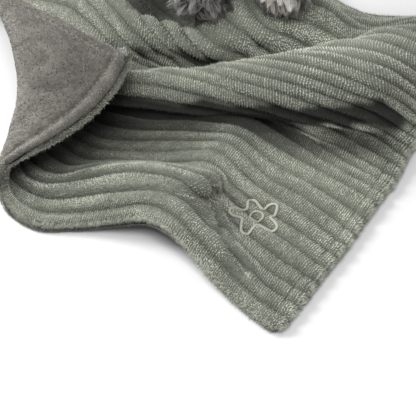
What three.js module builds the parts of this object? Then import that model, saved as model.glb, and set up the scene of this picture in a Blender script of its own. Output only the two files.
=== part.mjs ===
// A square comfort blanket that lies in folds, with a small plush rabbit sewn on near its back edge.
// Millimetres. +Z is up, +Y points away from the blanket's front corner, +X is to the right.
// The origin is on the floor under the middle of the footprint.

import * as THREE from 'three';

// Blanket
const blanket_side = 300;
const ribbed_layer = 2.6;
const backing_layer = 1.6;
const layer_gap = 0.3;
const flat_below = 1.8;
const hem_inset = 7;
const columns = 25;
const rows = 32;

// Threads on the blanket
const thread_width = 1.1;
const thread_height = 0.7;
const thread_lift = 0.45;
const front_bend_lift = 0.75;
const left_bend_lift = 1.1;
const stitch_end_gap = 3;

// Embroidered blossom near the front right corner
const blossom_from_right = 50;
const blossom_from_front = 50;
const blossom_radius = 10.5;
const blossom_wave = 3.2;
const blossom_petals = 5;
const blossom_steps = 50;
const blossom_heart_radius = 3.4;
const blossom_heart_steps = 16;

// Rabbit: neck and head
const neck_along = 0.56;
const neck_back = 0.81;
const neck_ball_radius = 8.5;
const neck_waist_radius = 6.2;
const neck_foot_radius = 8;
const neck_length = 13;
const gather_thread_radius = 0.8;
const head_width = 78;
const head_depth = 72;
const head_height = 68;
const head_wall = 2.6;
const socket_gap = 0.7;
const head_segments = 26;
const lining_steps = 12;
const fit_gap = 0.3;
const rest_gap = 0.6;

// Rabbit: face
const muzzle_width = 34;
const muzzle_height = 24;
const muzzle_bulge = 6;
const muzzle_drop = 0.3;
const nose_width = 10;
const nose_height = 7;
const nose_bulge = 2.4;
const eye_width = 6;
const eye_height = 7.5;
const eye_bulge = 1.2;
const eye_turn = 0.42;
const eye_rise = 0.16;
const pad_edge = 0.7;

// Rabbit: ears
const ear_width = 32;
const ear_fur = 3.2;
const ear_lining = 1.6;
// The root as shares of the head's half width, depth and height; bend and tip as steps from the root
const ear_root_shares = [0.6, 0.17, 0.85];
const root_to_bend = [29.5, 3, 1.2];
const root_to_tip = [31.5, 7, -44.8];

// Rabbit: arms
const paw_radius = 15;
const shoulder_radius = 6;
const arm_length = 32;
const arm_wall = 2.2;
const arm_segments = 16;
const arm_spread = 17;
const left_arm_forward = 6;
const right_arm_forward = 1;
const arm_splay = 0.15;
const shoulder_lift = 6.6;
const shoulder_opening = 3.4;

// How the wide ribs lie, each as: distance from the front edge, then x, y, z from the left edge of
// the blanket to its right edge, all in steps, of which one side of the blanket has this many.
const steps_per_side = 300;
const step = blanket_side / steps_per_side;
const rib_lines = [
  [0, -32, -50, 46, -38, -73, 48, -49, -87, 43, -68, -97, 34, -85, -103, 26, -95, -105, 17, -97, -108, 8,
    -91, -119, 3, -76, -130, 2, -57, -131, 3, -38, -133, 8, -20, -138, 15, -9, -147, 17, 2, -157, 11,
    13, -170, 5, 28, -186, 2, 43, -201, 2],
  [14, -44, -42, 47, -50, -64, 51, -61, -81, 47, -77, -92, 39, -90, -96, 28, -96, -97, 17, -97, -100, 8,
    -90, -107, 4, -75, -119, 4, -58, -122, 7, -38, -125, 14, -21, -128, 20, -7, -137, 23, 7, -150, 16,
    21, -161, 8, 35, -176, 4, 51, -189, 2],
  [32, -59, -32, 48, -64, -55, 53, -73, -71, 49, -82, -80, 40, -90, -83, 27, -93, -83, 14, -91, -86, 5,
    -82, -98, 5, -69, -107, 9, -56, -107, 13, -41, -106, 16, -25, -108, 20, -8, -117, 25, 4, -125, 26,
    9, -121, 14, 11, -120, 5, 17, -132, 3, 29, -148, 4, 45, -165, 3, 60, -175, 2],
  [44, -69, -22, 47, -75, -43, 52, -82, -56, 48, -86, -63, 38, -89, -66, 25, -90, -67, 12, -87, -73, 4,
    -78, -83, 3, -65, -95, 5, -49, -96, 9, -33, -97, 12, -17, -102, 16, -2, -111, 22, 8, -115, 23,
    13, -112, 15, 13, -108, 6, 17, -115, 4, 29, -130, 4, 48, -149, 4, 66, -165, 2],
  [54, -79, -15, 46, -84, -32, 51, -88, -43, 47, -89, -49, 37, -88, -51, 23, -86, -54, 10, -83, -61, 3,
    -73, -72, 2, -57, -86, 2, -39, -87, 3, -20, -90, 4, -2, -94, 7, 10, -98, 11, 17, -101, 9,
    22, -108, 6, 31, -119, 5, 50, -137, 4, 72, -156, 2],
  [64, -88, -6, 45, -91, -19, 48, -93, -28, 44, -92, -34, 34, -89, -37, 21, -85, -42, 9, -79, -50, 3,
    -68, -64, 2, -51, -79, 3, -36, -82, 4, -19, -85, 6, 1, -87, 9, 14, -91, 13, 22, -99, 12, 32, -110, 8,
    52, -127, 6, 77, -148, 2],
  [80, -100, 5, 43, -100, -4, 43, -99, -11, 38, -95, -15, 28, -91, -18, 17, -85, -24, 8, -77, -34, 3,
    -65, -50, 3, -48, -66, 4, -32, -70, 5, -15, -72, 7, 7, -76, 10, 23, -84, 15, 30, -90, 12,
    42, -101, 8, 62, -114, 5, 85, -135, 2],
  [98, -110, 19, 36, -106, 12, 33, -101, 4, 26, -96, -2, 19, -90, -7, 11, -81, -14, 6, -72, -28, 3,
    -56, -40, 3, -38, -50, 5, -21, -57, 7, 6, -63, 11, 26, -72, 15, 35, -75, 12, 50, -84, 8, 73, -98, 5,
    97, -114, 2],
  [106, -115, 26, 32, -109, 18, 30, -102, 11, 24, -96, 4, 16, -89, -2, 9, -81, -9, 5, -68, -22, 4,
    -48, -34, 5, -21, -39, 6, 6, -45, 7, 30, -55, 8, 50, -71, 6, 75, -93, 5, 100, -109, 2],
  [112, -119, 33, 29, -112, 25, 27, -104, 17, 21, -96, 9, 14, -88, 2, 8, -79, -7, 5, -66, -19, 7,
    -49, -33, 9, -21, -37, 9, 6, -42, 8, 30, -46, 9, 52, -63, 7, 77, -89, 5, 103, -104, 2],
  [120, -123, 40, 24, -114, 31, 23, -104, 21, 18, -96, 13, 11, -86, 4, 8, -75, -12, 9, -60, -38, 15,
    -47, -48, 18, -21, -55, 19, 6, -58, 17, 26, -57, 17, 48, -60, 14, 63, -69, 8, 82, -85, 5,
    105, -102, 2],
  [130, -128, 48, 18, -118, 38, 17, -107, 28, 13, -96, 18, 9, -86, 8, 10, -75, -10, 16, -57, -43, 24,
    -44, -50, 26, -21, -55, 27, 6, -61, 27, 32, -65, 25, 51, -64, 19, 83, -78, 6, 109, -94, 2],
  [140, -133, 57, 13, -122, 46, 13, -110, 35, 10, -97, 24, 11, -87, 15, 15, -74, -4, 21, -54, -37, 27,
    -41, -47, 29, -21, -51, 31, 6, -60, 33, 32, -68, 32, 58, -68, 22, 76, -66, 14, 96, -74, 6,
    112, -87, 3],
  [150, -138, 66, 8, -125, 55, 9, -111, 44, 9, -96, 32, 14, -86, 23, 20, -76, 10, 26, -65, -2, 33,
    -49, -21, 32, -36, -25, 20, -23, -31, 16, -11, -43, 28, 6, -54, 34, 32, -66, 37, 58, -71, 33,
    85, -67, 18, 99, -67, 8, 115, -80, 3],
  [160, -141, 76, 5, -128, 65, 6, -113, 54, 9, -96, 42, 16, -85, 33, 23, -71, 20, 31, -53, -5, 37,
    -40, -20, 34, -24, -22, 22, -10, -31, 13, 3, -40, 25, 19, -54, 37, 32, -61, 39, 58, -69, 39,
    84, -70, 30, 104, -66, 16, 119, -72, 3],
  [170, -143, 87, 3, -130, 77, 5, -116, 67, 10, -100, 55, 20, -80, 39, 27, -62, 23, 34, -42, -9, 40,
    -29, -23, 35, -13, -23, 23, 0, -30, 12, 16, -39, 27, 32, -52, 38, 58, -65, 42, 83, -70, 38,
    102, -69, 28, 122, -66, 6],
  [180, -142, 97, 3, -128, 86, 5, -111, 74, 10, -90, 59, 18, -70, 43, 24, -52, 27, 30, -36, -5, 41,
    -21, -22, 37, -3, -24, 23, 10, -28, 11, 25, -38, 28, 42, -48, 38, 58, -58, 43, 83, -68, 43,
    102, -70, 38, 124, -65, 12],
  [190, -139, 107, 3, -122, 95, 5, -103, 82, 8, -80, 65, 12, -58, 47, 14, -40, 27, 14, -28, -6, 40,
    -23, -13, 41, -10, -24, 36, 7, -24, 23, 18, -27, 11, 33, -37, 29, 58, -49, 42, 83, -63, 46,
    101, -69, 44, 126, -64, 20],
  [200, -134, 117, 3, -116, 105, 5, -94, 90, 8, -69, 71, 10, -46, 49, 9, -28, 25, 7, -21, 7, 22,
    -13, -13, 40, 1, -28, 35, 17, -24, 23, 26, -28, 12, 41, -35, 28, 69, -46, 42, 84, -55, 46,
    101, -65, 48, 127, -63, 26],
  [210, -128, 127, 3, -108, 114, 5, -84, 98, 8, -58, 75, 9, -34, 50, 8, -16, 27, 6, -8, 7, 20,
    -2, -17, 39, 12, -31, 35, 28, -23, 22, 36, -27, 13, 52, -33, 30, 82, -45, 44, 102, -57, 49,
    128, -62, 35],
  [220, -121, 137, 3, -100, 122, 6, -74, 104, 9, -46, 80, 15, -22, 56, 23, -2, 35, 17, 8, 17, 28,
    11, -10, 41, 24, -24, 40, 39, -20, 27, 48, -24, 14, 64, -29, 28, 83, -31, 38, 103, -45, 47,
    129, -57, 42],
  [230, -113, 146, 3, -92, 131, 6, -66, 110, 10, -38, 84, 22, -11, 56, 34, 10, 37, 32, 19, 23, 42,
    26, -5, 44, 40, -22, 39, 54, -15, 29, 68, -17, 18, 88, -27, 33, 104, -32, 43, 131, -51, 46],
  [240, -105, 155, 3, -84, 139, 6, -56, 115, 11, -27, 87, 25, 0, 57, 37, 19, 37, 44, 29, 25, 49,
    40, 13, 45, 41, -8, 40, 56, -11, 36, 70, -7, 27, 86, -11, 20, 106, -16, 34, 132, -40, 46],
  [252, -96, 164, 3, -74, 146, 6, -45, 121, 10, -15, 91, 22, 11, 59, 35, 27, 39, 44, 37, 28, 47,
    48, 17, 43, 55, 6, 37, 72, 6, 33, 86, 1, 24, 101, -4, 20, 121, -5, 28, 138, -9, 35],
  [266, -86, 175, 3, -62, 154, 6, -32, 127, 10, -2, 97, 15, 24, 67, 26, 40, 47, 34, 56, 33, 32,
    71, 21, 26, 87, 13, 19, 104, 9, 17, 121, 7, 21, 139, 4, 24],
  [283, -75, 188, 3, -50, 163, 5, -18, 133, 8, 12, 101, 12, 34, 77, 18, 50, 61, 19, 66, 46, 16,
    84, 31, 11, 104, 23, 8, 123, 21, 9, 141, 18, 11],
  [300, -64, 201, 2, -38, 173, 3, -6, 141, 5, 24, 111, 6, 44, 92, 8, 59, 76, 8, 72, 60, 6, 85, 44, 4,
    101, 34, 3, 121, 31, 3, 142, 29, 3],
];

const colours = {
  ribbed: 0x7d8479,
  backing: 0x8b837f,
  hem_thread: 0x767c70,
  blossom_thread: 0xa6a391,
  fur: 0x91898a,
  lining: 0x7d8479,
  stuffing: 0xece8df,
  dark_thread: 0x4a4240,
};

function material(colour, roughness = 0.95) {
  return new THREE.MeshStandardMaterial({ color: colour, roughness, metalness: 0 });
}

function named(name, geometry, colour) {
  const mesh = new THREE.Mesh(geometry, material(colour));
  mesh.name = name;
  return mesh;
}

// Closed solids from rows of points

function signedVolume(points, faces) {
  let volume = 0;
  for (const [a, b, c] of faces) {
    volume += points[a].dot(new THREE.Vector3().crossVectors(points[b], points[c])) / 6;
  }
  return volume;
}

function solid(points, faces) {
  const turned = signedVolume(points, faces) < 0;
  const geometry = new THREE.BufferGeometry();
  geometry.setAttribute('position', new THREE.Float32BufferAttribute(points.flatMap((p) => [p.x, p.y, p.z]), 3));
  geometry.setIndex(faces.flatMap(([a, b, c]) => (turned ? [a, c, b] : [a, b, c])));
  geometry.computeVertexNormals();
  return geometry;
}

// A slab between two equal grids of points, upper[row][column] and lower[row][column].
function slab(upper, lower) {
  const last_row = upper.length - 1;
  const last_column = upper[0].length - 1;
  const points = [...upper.flat(), ...lower.flat()];
  const at = (j, i) => j * (last_column + 1) + i;
  const below = (j, i) => upper.flat().length + at(j, i);
  const faces = [];
  const quad = (a, b, c, d) => faces.push([a, b, c], [a, c, d]);
  for (let j = 0; j < last_row; j += 1) {
    for (let i = 0; i < last_column; i += 1) {
      quad(at(j, i), at(j, i + 1), at(j + 1, i + 1), at(j + 1, i));
      faces.push([below(j, i), below(j + 1, i + 1), below(j, i + 1)]);
      faces.push([below(j, i), below(j + 1, i), below(j + 1, i + 1)]);
    }
  }
  for (let i = 0; i < last_column; i += 1) {
    quad(below(0, i), below(0, i + 1), at(0, i + 1), at(0, i));
    quad(at(last_row, i), at(last_row, i + 1), below(last_row, i + 1), below(last_row, i));
  }
  for (let j = 0; j < last_row; j += 1) {
    quad(at(j, 0), at(j + 1, 0), below(j + 1, 0), below(j, 0));
    quad(below(j, last_column), below(j + 1, last_column), at(j + 1, last_column), at(j, last_column));
  }
  return solid(points, faces);
}

// A flat thread along points with a normal each; a closed one joins its last point to its first.
function thread(path, width, height, closed = false) {
  const rings = path.map(({ point, normal }, k) => {
    const before = path[closed ? (k + path.length - 1) % path.length : Math.max(k - 1, 0)].point;
    const after = path[closed ? (k + 1) % path.length : Math.min(k + 1, path.length - 1)].point;
    const along = new THREE.Vector3().subVectors(after, before).normalize();
    const side = new THREE.Vector3().crossVectors(normal, along).normalize().multiplyScalar(width / 2);
    const rise = normal.clone().multiplyScalar(height);
    const left = point.clone().add(side);
    const right = point.clone().sub(side);
    return [right, left, left.clone().add(rise), right.clone().add(rise)];
  });
  const faces = [];
  const spans = closed ? rings.length : rings.length - 1;
  for (let k = 0; k < spans; k += 1) {
    const next = (k + 1) % rings.length;
    for (let m = 0; m < 4; m += 1) {
      const a = 4 * k + m;
      const b = 4 * k + ((m + 1) % 4);
      const c = 4 * next + ((m + 1) % 4);
      const d = 4 * next + m;
      faces.push([a, b, c], [a, c, d]);
    }
  }
  if (!closed) {
    const end = 4 * (rings.length - 1);
    faces.push([0, 2, 1], [0, 3, 2], [end, end + 1, end + 2], [end, end + 2, end + 3]);
  }
  return solid(rings.flat(), faces);
}

// The blanket's middle surface, lofted through the rib lines

const ribs = rib_lines.map(([from_front, ...coordinates]) => {
  const points = [];
  for (let k = 0; k < coordinates.length; k += 3) {
    points.push(new THREE.Vector3(...coordinates.slice(k, k + 3)).multiplyScalar(step));
  }
  return { from_front, curve: new THREE.CatmullRomCurve3(points, false, 'centripetal') };
});

function gridLines(count) {
  const inner = blanket_side - 2 * hem_inset;
  const lines = [0];
  for (let k = 0; k <= count - 2; k += 1) {
    lines.push(hem_inset + (inner * k) / (count - 2));
  }
  lines.push(blanket_side);
  return lines;
}

const column_lines = gridLines(columns);
const row_lines = gridLines(rows);

function ribPosition(from_front) {
  const steps_back = from_front / step;
  let k = 0;
  while (k < ribs.length - 2 && steps_back > ribs[k + 1].from_front) {
    k += 1;
  }
  const part = (steps_back - ribs[k].from_front) / (ribs[k + 1].from_front - ribs[k].from_front);
  return (k + part) / (ribs.length - 1);
}

const columns_across = column_lines.map((from_left) => {
  const crossing = ribs.map((rib) => rib.curve.getPointAt(from_left / blanket_side));
  return new THREE.CatmullRomCurve3(crossing, false, 'centripetal');
});
const middle = row_lines.map((from_front) => columns_across.map((curve) => curve.getPoint(ribPosition(from_front))));

const normals = middle.map((line, j) => line.map((_, i) => {
  const across = new THREE.Vector3().subVectors(
    line[Math.min(i + 1, columns)],
    line[Math.max(i - 1, 0)],
  );
  const back = new THREE.Vector3().subVectors(
    middle[Math.min(j + 1, rows)][i],
    middle[Math.max(j - 1, 0)][i],
  );
  return new THREE.Vector3().crossVectors(across, back).normalize();
}));

function offsetGrid(distance) {
  return middle.map((line, j) => line.map((p, i) => p.clone().addScaledVector(normals[j][i], distance)));
}

// What lies on the floor is flat underneath.
function laidOnFloor(grid) {
  return grid.map((line) => line.map((p) => (p.z < flat_below ? p.setZ(0) : p)));
}

const face_top = offsetGrid(layer_gap / 2 + ribbed_layer);
const face_bottom = offsetGrid(layer_gap / 2);
const backing_top = offsetGrid(-layer_gap / 2);
const backing_bottom = laidOnFloor(offsetGrid(-layer_gap / 2 - backing_layer));

// A point on the facets of the ribbed side, with its normal, lifted by a distance.
function onFace(from_left, from_front, lift) {
  const i = Math.max(column_lines.findIndex((line) => line >= from_left) - 1, 0);
  const j = Math.max(row_lines.findIndex((line) => line >= from_front) - 1, 0);
  const u = (from_left - column_lines[i]) / (column_lines[i + 1] - column_lines[i]);
  const v = (from_front - row_lines[j]) / (row_lines[j + 1] - row_lines[j]);
  const third = u > v ? [j, i + 1] : [j + 1, i];
  const weights = u > v ? [1 - u, u - v, v] : [1 - v, v - u, u];
  const corners = [[j, i], third, [j + 1, i + 1]];
  const point = new THREE.Vector3();
  const normal = new THREE.Vector3();
  corners.forEach(([row, column], k) => {
    point.addScaledVector(face_top[row][column], weights[k]);
    normal.addScaledVector(normals[row][column], weights[k]);
  });
  normal.normalize();
  return { point: point.addScaledVector(normal, lift), normal };
}

// Threads sewn along the hem and the embroidered blossom

function hemStitch(name, along_front, inset_line, lift = thread_lift) {
  const start = along_front ? hem_inset + stitch_end_gap : hem_inset;
  const lines = (along_front ? column_lines : row_lines).filter((d) => d > start && d < blanket_side - start);
  const ends = [start, ...lines, blanket_side - start];
  const stops = ends.flatMap((d, k) => (k === 0 ? [d] : [(ends[k - 1] + d) / 2, d]));
  const path = stops.map((d) => (along_front ? onFace(d, inset_line, lift) : onFace(inset_line, d, lift)));
  return named(name, thread(path, thread_width, thread_height), colours.hem_thread);
}

function blossomRing(name, steps, radiusAt) {
  const path = [];
  for (let k = 0; k < steps; k += 1) {
    const angle = (2 * Math.PI * k) / steps;
    const radius = radiusAt(angle);
    const from_left = blanket_side - blossom_from_right + radius * Math.cos(angle);
    path.push(onFace(from_left, blossom_from_front + radius * Math.sin(angle), thread_lift));
  }
  return named(name, thread(path, thread_width, thread_height, true), colours.blossom_thread);
}

const far_hem = blanket_side - hem_inset;
const blanket_parts = [
  named('blanket_ribbed_face', slab(face_top, face_bottom), colours.ribbed),
  named('blanket_backing', slab(backing_top, backing_bottom), colours.backing),
  hemStitch('hem_stitch_front', true, hem_inset, front_bend_lift),
  hemStitch('hem_stitch_back', true, far_hem),
  hemStitch('hem_stitch_left', false, hem_inset, left_bend_lift),
  hemStitch('hem_stitch_right', false, far_hem),
  blossomRing('blossom_outline', blossom_steps, (angle) => (
    blossom_radius + blossom_wave * Math.cos(blossom_petals * angle)
  )),
  blossomRing('blossom_heart', blossom_heart_steps, () => blossom_heart_radius),
];

// How high a ball of a radius must stand at x, y to clear the ribbed side.
function restHeight(x, y, radius) {
  const reach = radius + rest_gap;
  const samples = 3;
  let height = 0;
  for (let j = 0; j < rows; j += 1) {
    for (let i = 0; i < columns; i += 1) {
      for (let k = 0; k <= samples; k += 1) {
        for (let m = 0; m <= samples; m += 1) {
          const near = face_top[j][i].clone().lerp(face_top[j][i + 1], m / samples);
          const far = face_top[j + 1][i].clone().lerp(face_top[j + 1][i + 1], m / samples);
          const p = near.lerp(far, k / samples);
          const away = Math.hypot(p.x - x, p.y - y);
          if (away < reach) {
            height = Math.max(height, p.z + Math.sqrt(reach * reach - away * away));
          }
        }
      }
    }
  }
  return height;
}

// The highest point of the ribbed side within a radius.
function topWithin(x, y, radius) {
  const steps = 24;
  let height = 0;
  for (let k = 0; k <= steps; k += 1) {
    for (let m = 0; m <= steps; m += 1) {
      const from_left = (neck_along - 0.1 + (0.2 * k) / steps) * blanket_side;
      const from_front = (neck_back - 0.1 + (0.2 * m) / steps) * blanket_side;
      const { point } = onFace(from_left, from_front, 0);
      if (Math.hypot(point.x - x, point.y - y) < radius) {
        height = Math.max(height, point.z);
      }
    }
  }
  return height;
}

// Neck: a stuffed stalk that stands on the gathered cloth and ends in a ball inside the head

const neck_seat = onFace(neck_along * blanket_side, neck_back * blanket_side, 0).point;
const neck_floor = topWithin(neck_seat.x, neck_seat.y, neck_foot_radius + 2) + fit_gap;
const neck_pivot = new THREE.Vector3(neck_seat.x, neck_seat.y, neck_floor + neck_length);

function turned(profile, segments) {
  const geometry = new THREE.LatheGeometry(profile.map(([r, z]) => new THREE.Vector2(r, z)), segments);
  geometry.rotateX(Math.PI / 2);
  return outwards(geometry);
}

// A turned solid as one shared-vertex mesh without empty triangles, its faces pointing out.
function outwards(geometry) {
  const position = geometry.attributes.position;
  const keys = new Map();
  const points = [];
  const shared = [];
  for (let k = 0; k < position.count; k += 1) {
    const p = new THREE.Vector3().fromBufferAttribute(position, k);
    const key = [p.x, p.y, p.z].map((value) => Math.round(value * 1000)).join();
    if (!keys.has(key)) {
      keys.set(key, points.length);
      points.push(p);
    }
    shared.push(keys.get(key));
  }
  const faces = [];
  for (let k = 0; k < geometry.index.count; k += 3) {
    const [a, b, c] = [0, 1, 2].map((m) => shared[geometry.index.getX(k + m)]);
    if (a !== b && b !== c && a !== c) {
      faces.push([a, b, c]);
    }
  }
  return solid(points, faces);
}

function arc(radius_r, radius_z, centre_z, from, to, steps) {
  const points = [];
  for (let k = 0; k <= steps; k += 1) {
    const angle = from + ((to - from) * k) / steps;
    points.push([Math.max(radius_r * Math.cos(angle), 0), centre_z + radius_z * Math.sin(angle)]);
  }
  return points;
}

const neck_waist_angle = -Math.acos(neck_waist_radius / neck_ball_radius);
const neck_stalk = named('neck_stalk', turned([
  [0, -neck_length],
  [neck_foot_radius, -neck_length],
  [neck_waist_radius, -neck_length + 2.5],
  ...arc(neck_ball_radius, neck_ball_radius, 0, neck_waist_angle, Math.PI / 2, 9),
], 20), colours.stuffing);
neck_stalk.position.copy(neck_pivot);

const gather_ring_radius = neck_foot_radius + fit_gap + gather_thread_radius;
const gather_thread = named(
  'neck_gather_thread',
  new THREE.TorusGeometry(gather_ring_radius, gather_thread_radius, 6, 28),
  colours.hem_thread,
);
gather_thread.position.set(neck_pivot.x, neck_pivot.y, neck_floor + gather_thread_radius + fit_gap);

// Head: a fur shell open at the neck, its stuffing with a socket for the ball, and what is sewn on it.
// Its own frame has the pivot at the origin and the face towards -Y.

const half = { x: head_width / 2, y: head_depth / 2, z: head_height / 2 };
const opening_radius = neck_ball_radius + socket_gap;
const opening_angle = -Math.acos(opening_radius / half.x);
const head_rise = -half.z * Math.sin(opening_angle);
const inner = { x: half.x - head_wall, z: half.z - head_wall };
const inner_opening_angle = -Math.acos(opening_radius / inner.x);

function squashedInDepth(geometry) {
  return geometry.scale(1, half.y / half.x, 1);
}

const head_shell = named('head_shell', squashedInDepth(turned([
  ...arc(half.x, half.z, head_rise, Math.PI / 2, opening_angle, 14),
  ...arc(inner.x, inner.z, head_rise, inner_opening_angle, Math.PI / 2, lining_steps),
], head_segments)), colours.fur);

// The stuffing has the same turns and steps as the fur's inside and stops one step above the opening.
const stuffing = { x: inner.x - fit_gap, z: inner.z - fit_gap };
const lining_step = (Math.PI / 2 - inner_opening_angle) / lining_steps;
const stuffing_floor_angle = inner_opening_angle + lining_step;
const stuffing_floor = head_rise + stuffing.z * Math.sin(stuffing_floor_angle);
const socket_radius = neck_ball_radius + socket_gap;
const socket_angle = Math.asin(stuffing_floor / socket_radius);
const head_stuffing = named('head_stuffing', squashedInDepth(turned([
  ...arc(stuffing.x, stuffing.z, head_rise, Math.PI / 2, stuffing_floor_angle, lining_steps - 1),
  ...arc(socket_radius * (half.x / half.y), socket_radius, 0, socket_angle, Math.PI / 2, 5),
], head_segments)), colours.stuffing);

// A point of the head's fur at a turn from the face and a rise, with its normal.
function onHead(turn, rise) {
  const unit = new THREE.Vector3(
    Math.cos(rise) * Math.sin(turn),
    -Math.cos(rise) * Math.cos(turn),
    Math.sin(rise),
  );
  const point = new THREE.Vector3(unit.x * half.x, unit.y * half.y, unit.z * half.z + head_rise);
  const normal = new THREE.Vector3(unit.x / half.x, unit.y / half.y, unit.z / half.z).normalize();
  return { point, normal };
}

// A domed pad sewn on a surface: rings of points from its middle to its rim.
function pad(surface, width, height, bulge, rings = 4, segments = 18) {
  const upper = [];
  const lower = [];
  for (let j = 0; j <= rings; j += 1) {
    const share = j / rings;
    for (let i = 0; i < (j === 0 ? 1 : segments); i += 1) {
      const angle = (2 * Math.PI * i) / segments;
      const { point, normal } = surface(
        (share * width * Math.cos(angle)) / 2,
        (share * height * Math.sin(angle)) / 2,
      );
      lower.push(point.clone().addScaledVector(normal, fit_gap));
      upper.push(point.clone().addScaledVector(normal, fit_gap + pad_edge + bulge * (1 - share * share)));
    }
  }
  const at = (j, i) => (j === 0 ? 0 : 1 + (j - 1) * segments + (i % segments));
  const base = upper.length;
  const faces = [];
  for (let i = 0; i < segments; i += 1) {
    faces.push([0, at(1, i), at(1, i + 1)], [base, base + at(1, i + 1), base + at(1, i)]);
    for (let j = 1; j < rings; j += 1) {
      const [a, b, c, d] = [at(j, i), at(j + 1, i), at(j + 1, i + 1), at(j, i + 1)];
      faces.push([a, b, c], [a, c, d], [base + a, base + c, base + b], [base + a, base + d, base + c]);
    }
    const [rim, next] = [at(rings, i), at(rings, i + 1)];
    faces.push([rim, base + rim, base + next], [rim, base + next, next]);
  }
  return solid([...upper, ...lower], faces);
}

// Offsets across and up a patch of the head, in millimetres, turned into head angles.
function headPatch(turn, rise) {
  return (across, up) => onHead(turn + across / half.x, rise + up / half.z);
}

const muzzle_patch = headPatch(0, -muzzle_drop);

function onMuzzle(across, up) {
  const share = Math.hypot((2 * across) / muzzle_width, (2 * up) / muzzle_height);
  const { point, normal } = muzzle_patch(across, up);
  const height = fit_gap + pad_edge + muzzle_bulge * (1 - share * share);
  return { point: point.addScaledVector(normal, height), normal };
}

const nose_up = muzzle_height * 0.22;
const mouth_steps = 9;
const mouth_half_width = muzzle_width * 0.2;
const mouth_depth = muzzle_height * 0.14;
const mouth_path = [];
for (let k = 0; k <= mouth_steps; k += 1) {
  const across = mouth_half_width * ((2 * k) / mouth_steps - 1);
  const up = -mouth_depth * Math.sin((Math.PI * k) / mouth_steps) - muzzle_height * 0.06;
  const { point, normal } = onMuzzle(across, up);
  mouth_path.push({ point: point.addScaledVector(normal, fit_gap), normal });
}

const seam_steps = 16;
const seam_path = [];
for (let k = 0; k <= seam_steps; k += 1) {
  const rise = 0.35 * Math.PI - (k / seam_steps) * (0.35 * Math.PI - 0.5 * opening_angle);
  const { point, normal } = onHead(Math.PI, rise);
  seam_path.push({ point: point.addScaledVector(normal, fit_gap), normal });
}

function eye(name, side) {
  const patch = headPatch(side * eye_turn, eye_rise);
  return named(name, pad(patch, eye_width, eye_height, eye_bulge, 3, 14), colours.dark_thread);
}

const head = new THREE.Group();
head.position.copy(neck_pivot);
head.add(
  head_shell,
  head_stuffing,
  named('muzzle', pad(muzzle_patch, muzzle_width, muzzle_height, muzzle_bulge), colours.fur),
  named('nose', pad((across, up) => onMuzzle(across, nose_up + up), nose_width, nose_height, nose_bulge, 3, 14),
    colours.dark_thread),
  named('mouth_stitch', thread(mouth_path, thread_width, thread_height), colours.dark_thread),
  named('head_back_seam', thread(seam_path, thread_width, thread_height), colours.hem_thread),
  eye('left_eye', -1),
  eye('right_eye', 1),
);

// Ears: a fur outer and a ribbed lining, hanging from the top of the head

function earGrids(side) {
  const steps_along = 10;
  const steps_across = 6;
  const [out, back, up] = ear_root_shares;
  const root = new THREE.Vector3(side * out * half.x, back * half.y, up * half.z + head_rise);
  const [bend, tip] = [root_to_bend, root_to_tip].map(([x, y, z]) => (
    root.clone().add(new THREE.Vector3(side * x, y, z))
  ));
  const spine = new THREE.QuadraticBezierCurve3(root, bend, tip);
  const forward = new THREE.Vector3(0, -1, 0);
  const layers = { outer_top: [], outer_bottom: [], lining_top: [], lining_bottom: [] };
  for (let j = 0; j <= steps_along; j += 1) {
    const share = j / steps_along;
    const point = spine.getPoint(share);
    const along = spine.getTangent(share);
    const outward = new THREE.Vector3().crossVectors(forward, along).multiplyScalar(side).normalize();
    const width = ear_width * (0.3 + 0.7 * Math.sin(Math.PI * (0.12 + 0.8 * share)) ** 0.8);
    const fullness = 0.55 + 0.45 * Math.sin(Math.PI * Math.min(share * 1.1 + 0.05, 0.95));
    const lines = { outer_top: [], outer_bottom: [], lining_top: [], lining_bottom: [] };
    for (let i = 0; i <= steps_across; i += 1) {
      const across = (2 * i) / steps_across - 1;
      const edge = fullness * (1 - 0.45 * across * across);
      const centre = point.clone().addScaledVector(forward, -across * width / 2);
      lines.outer_top.push(centre.clone().addScaledVector(outward, fit_gap / 2 + ear_fur * edge));
      lines.outer_bottom.push(centre.clone().addScaledVector(outward, fit_gap / 2));
      lines.lining_top.push(centre.clone().addScaledVector(outward, -fit_gap / 2));
      lines.lining_bottom.push(centre.clone().addScaledVector(outward, -fit_gap / 2 - ear_lining * edge));
    }
    Object.keys(layers).forEach((key) => layers[key].push(lines[key]));
  }
  return layers;
}

for (const [word, side] of [['left', -1], ['right', 1]]) {
  const layers = earGrids(side);
  head.add(
    named(`${word}_ear_outer`, slab(layers.outer_top, layers.outer_bottom), colours.fur),
    named(`${word}_ear_lining`, slab(layers.lining_top, layers.lining_bottom), colours.lining),
  );
}

// Arms: tapered fur tubes with rounded paws, stuffed, resting forward on the cloth

// The outline of two balls and the cone between them, from the far tip to the opening at the shoulder.
function pillOutline(shoulder, paw, opening, steps) {
  const slope = Math.asin((paw - shoulder) / arm_length);
  const end = -Math.acos(opening / shoulder);
  return [
    ...arc(paw, paw, arm_length, Math.PI / 2, -slope, steps),
    ...arc(shoulder, shoulder, 0, -slope, end, Math.ceil(steps / 2)),
  ];
}

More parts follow.
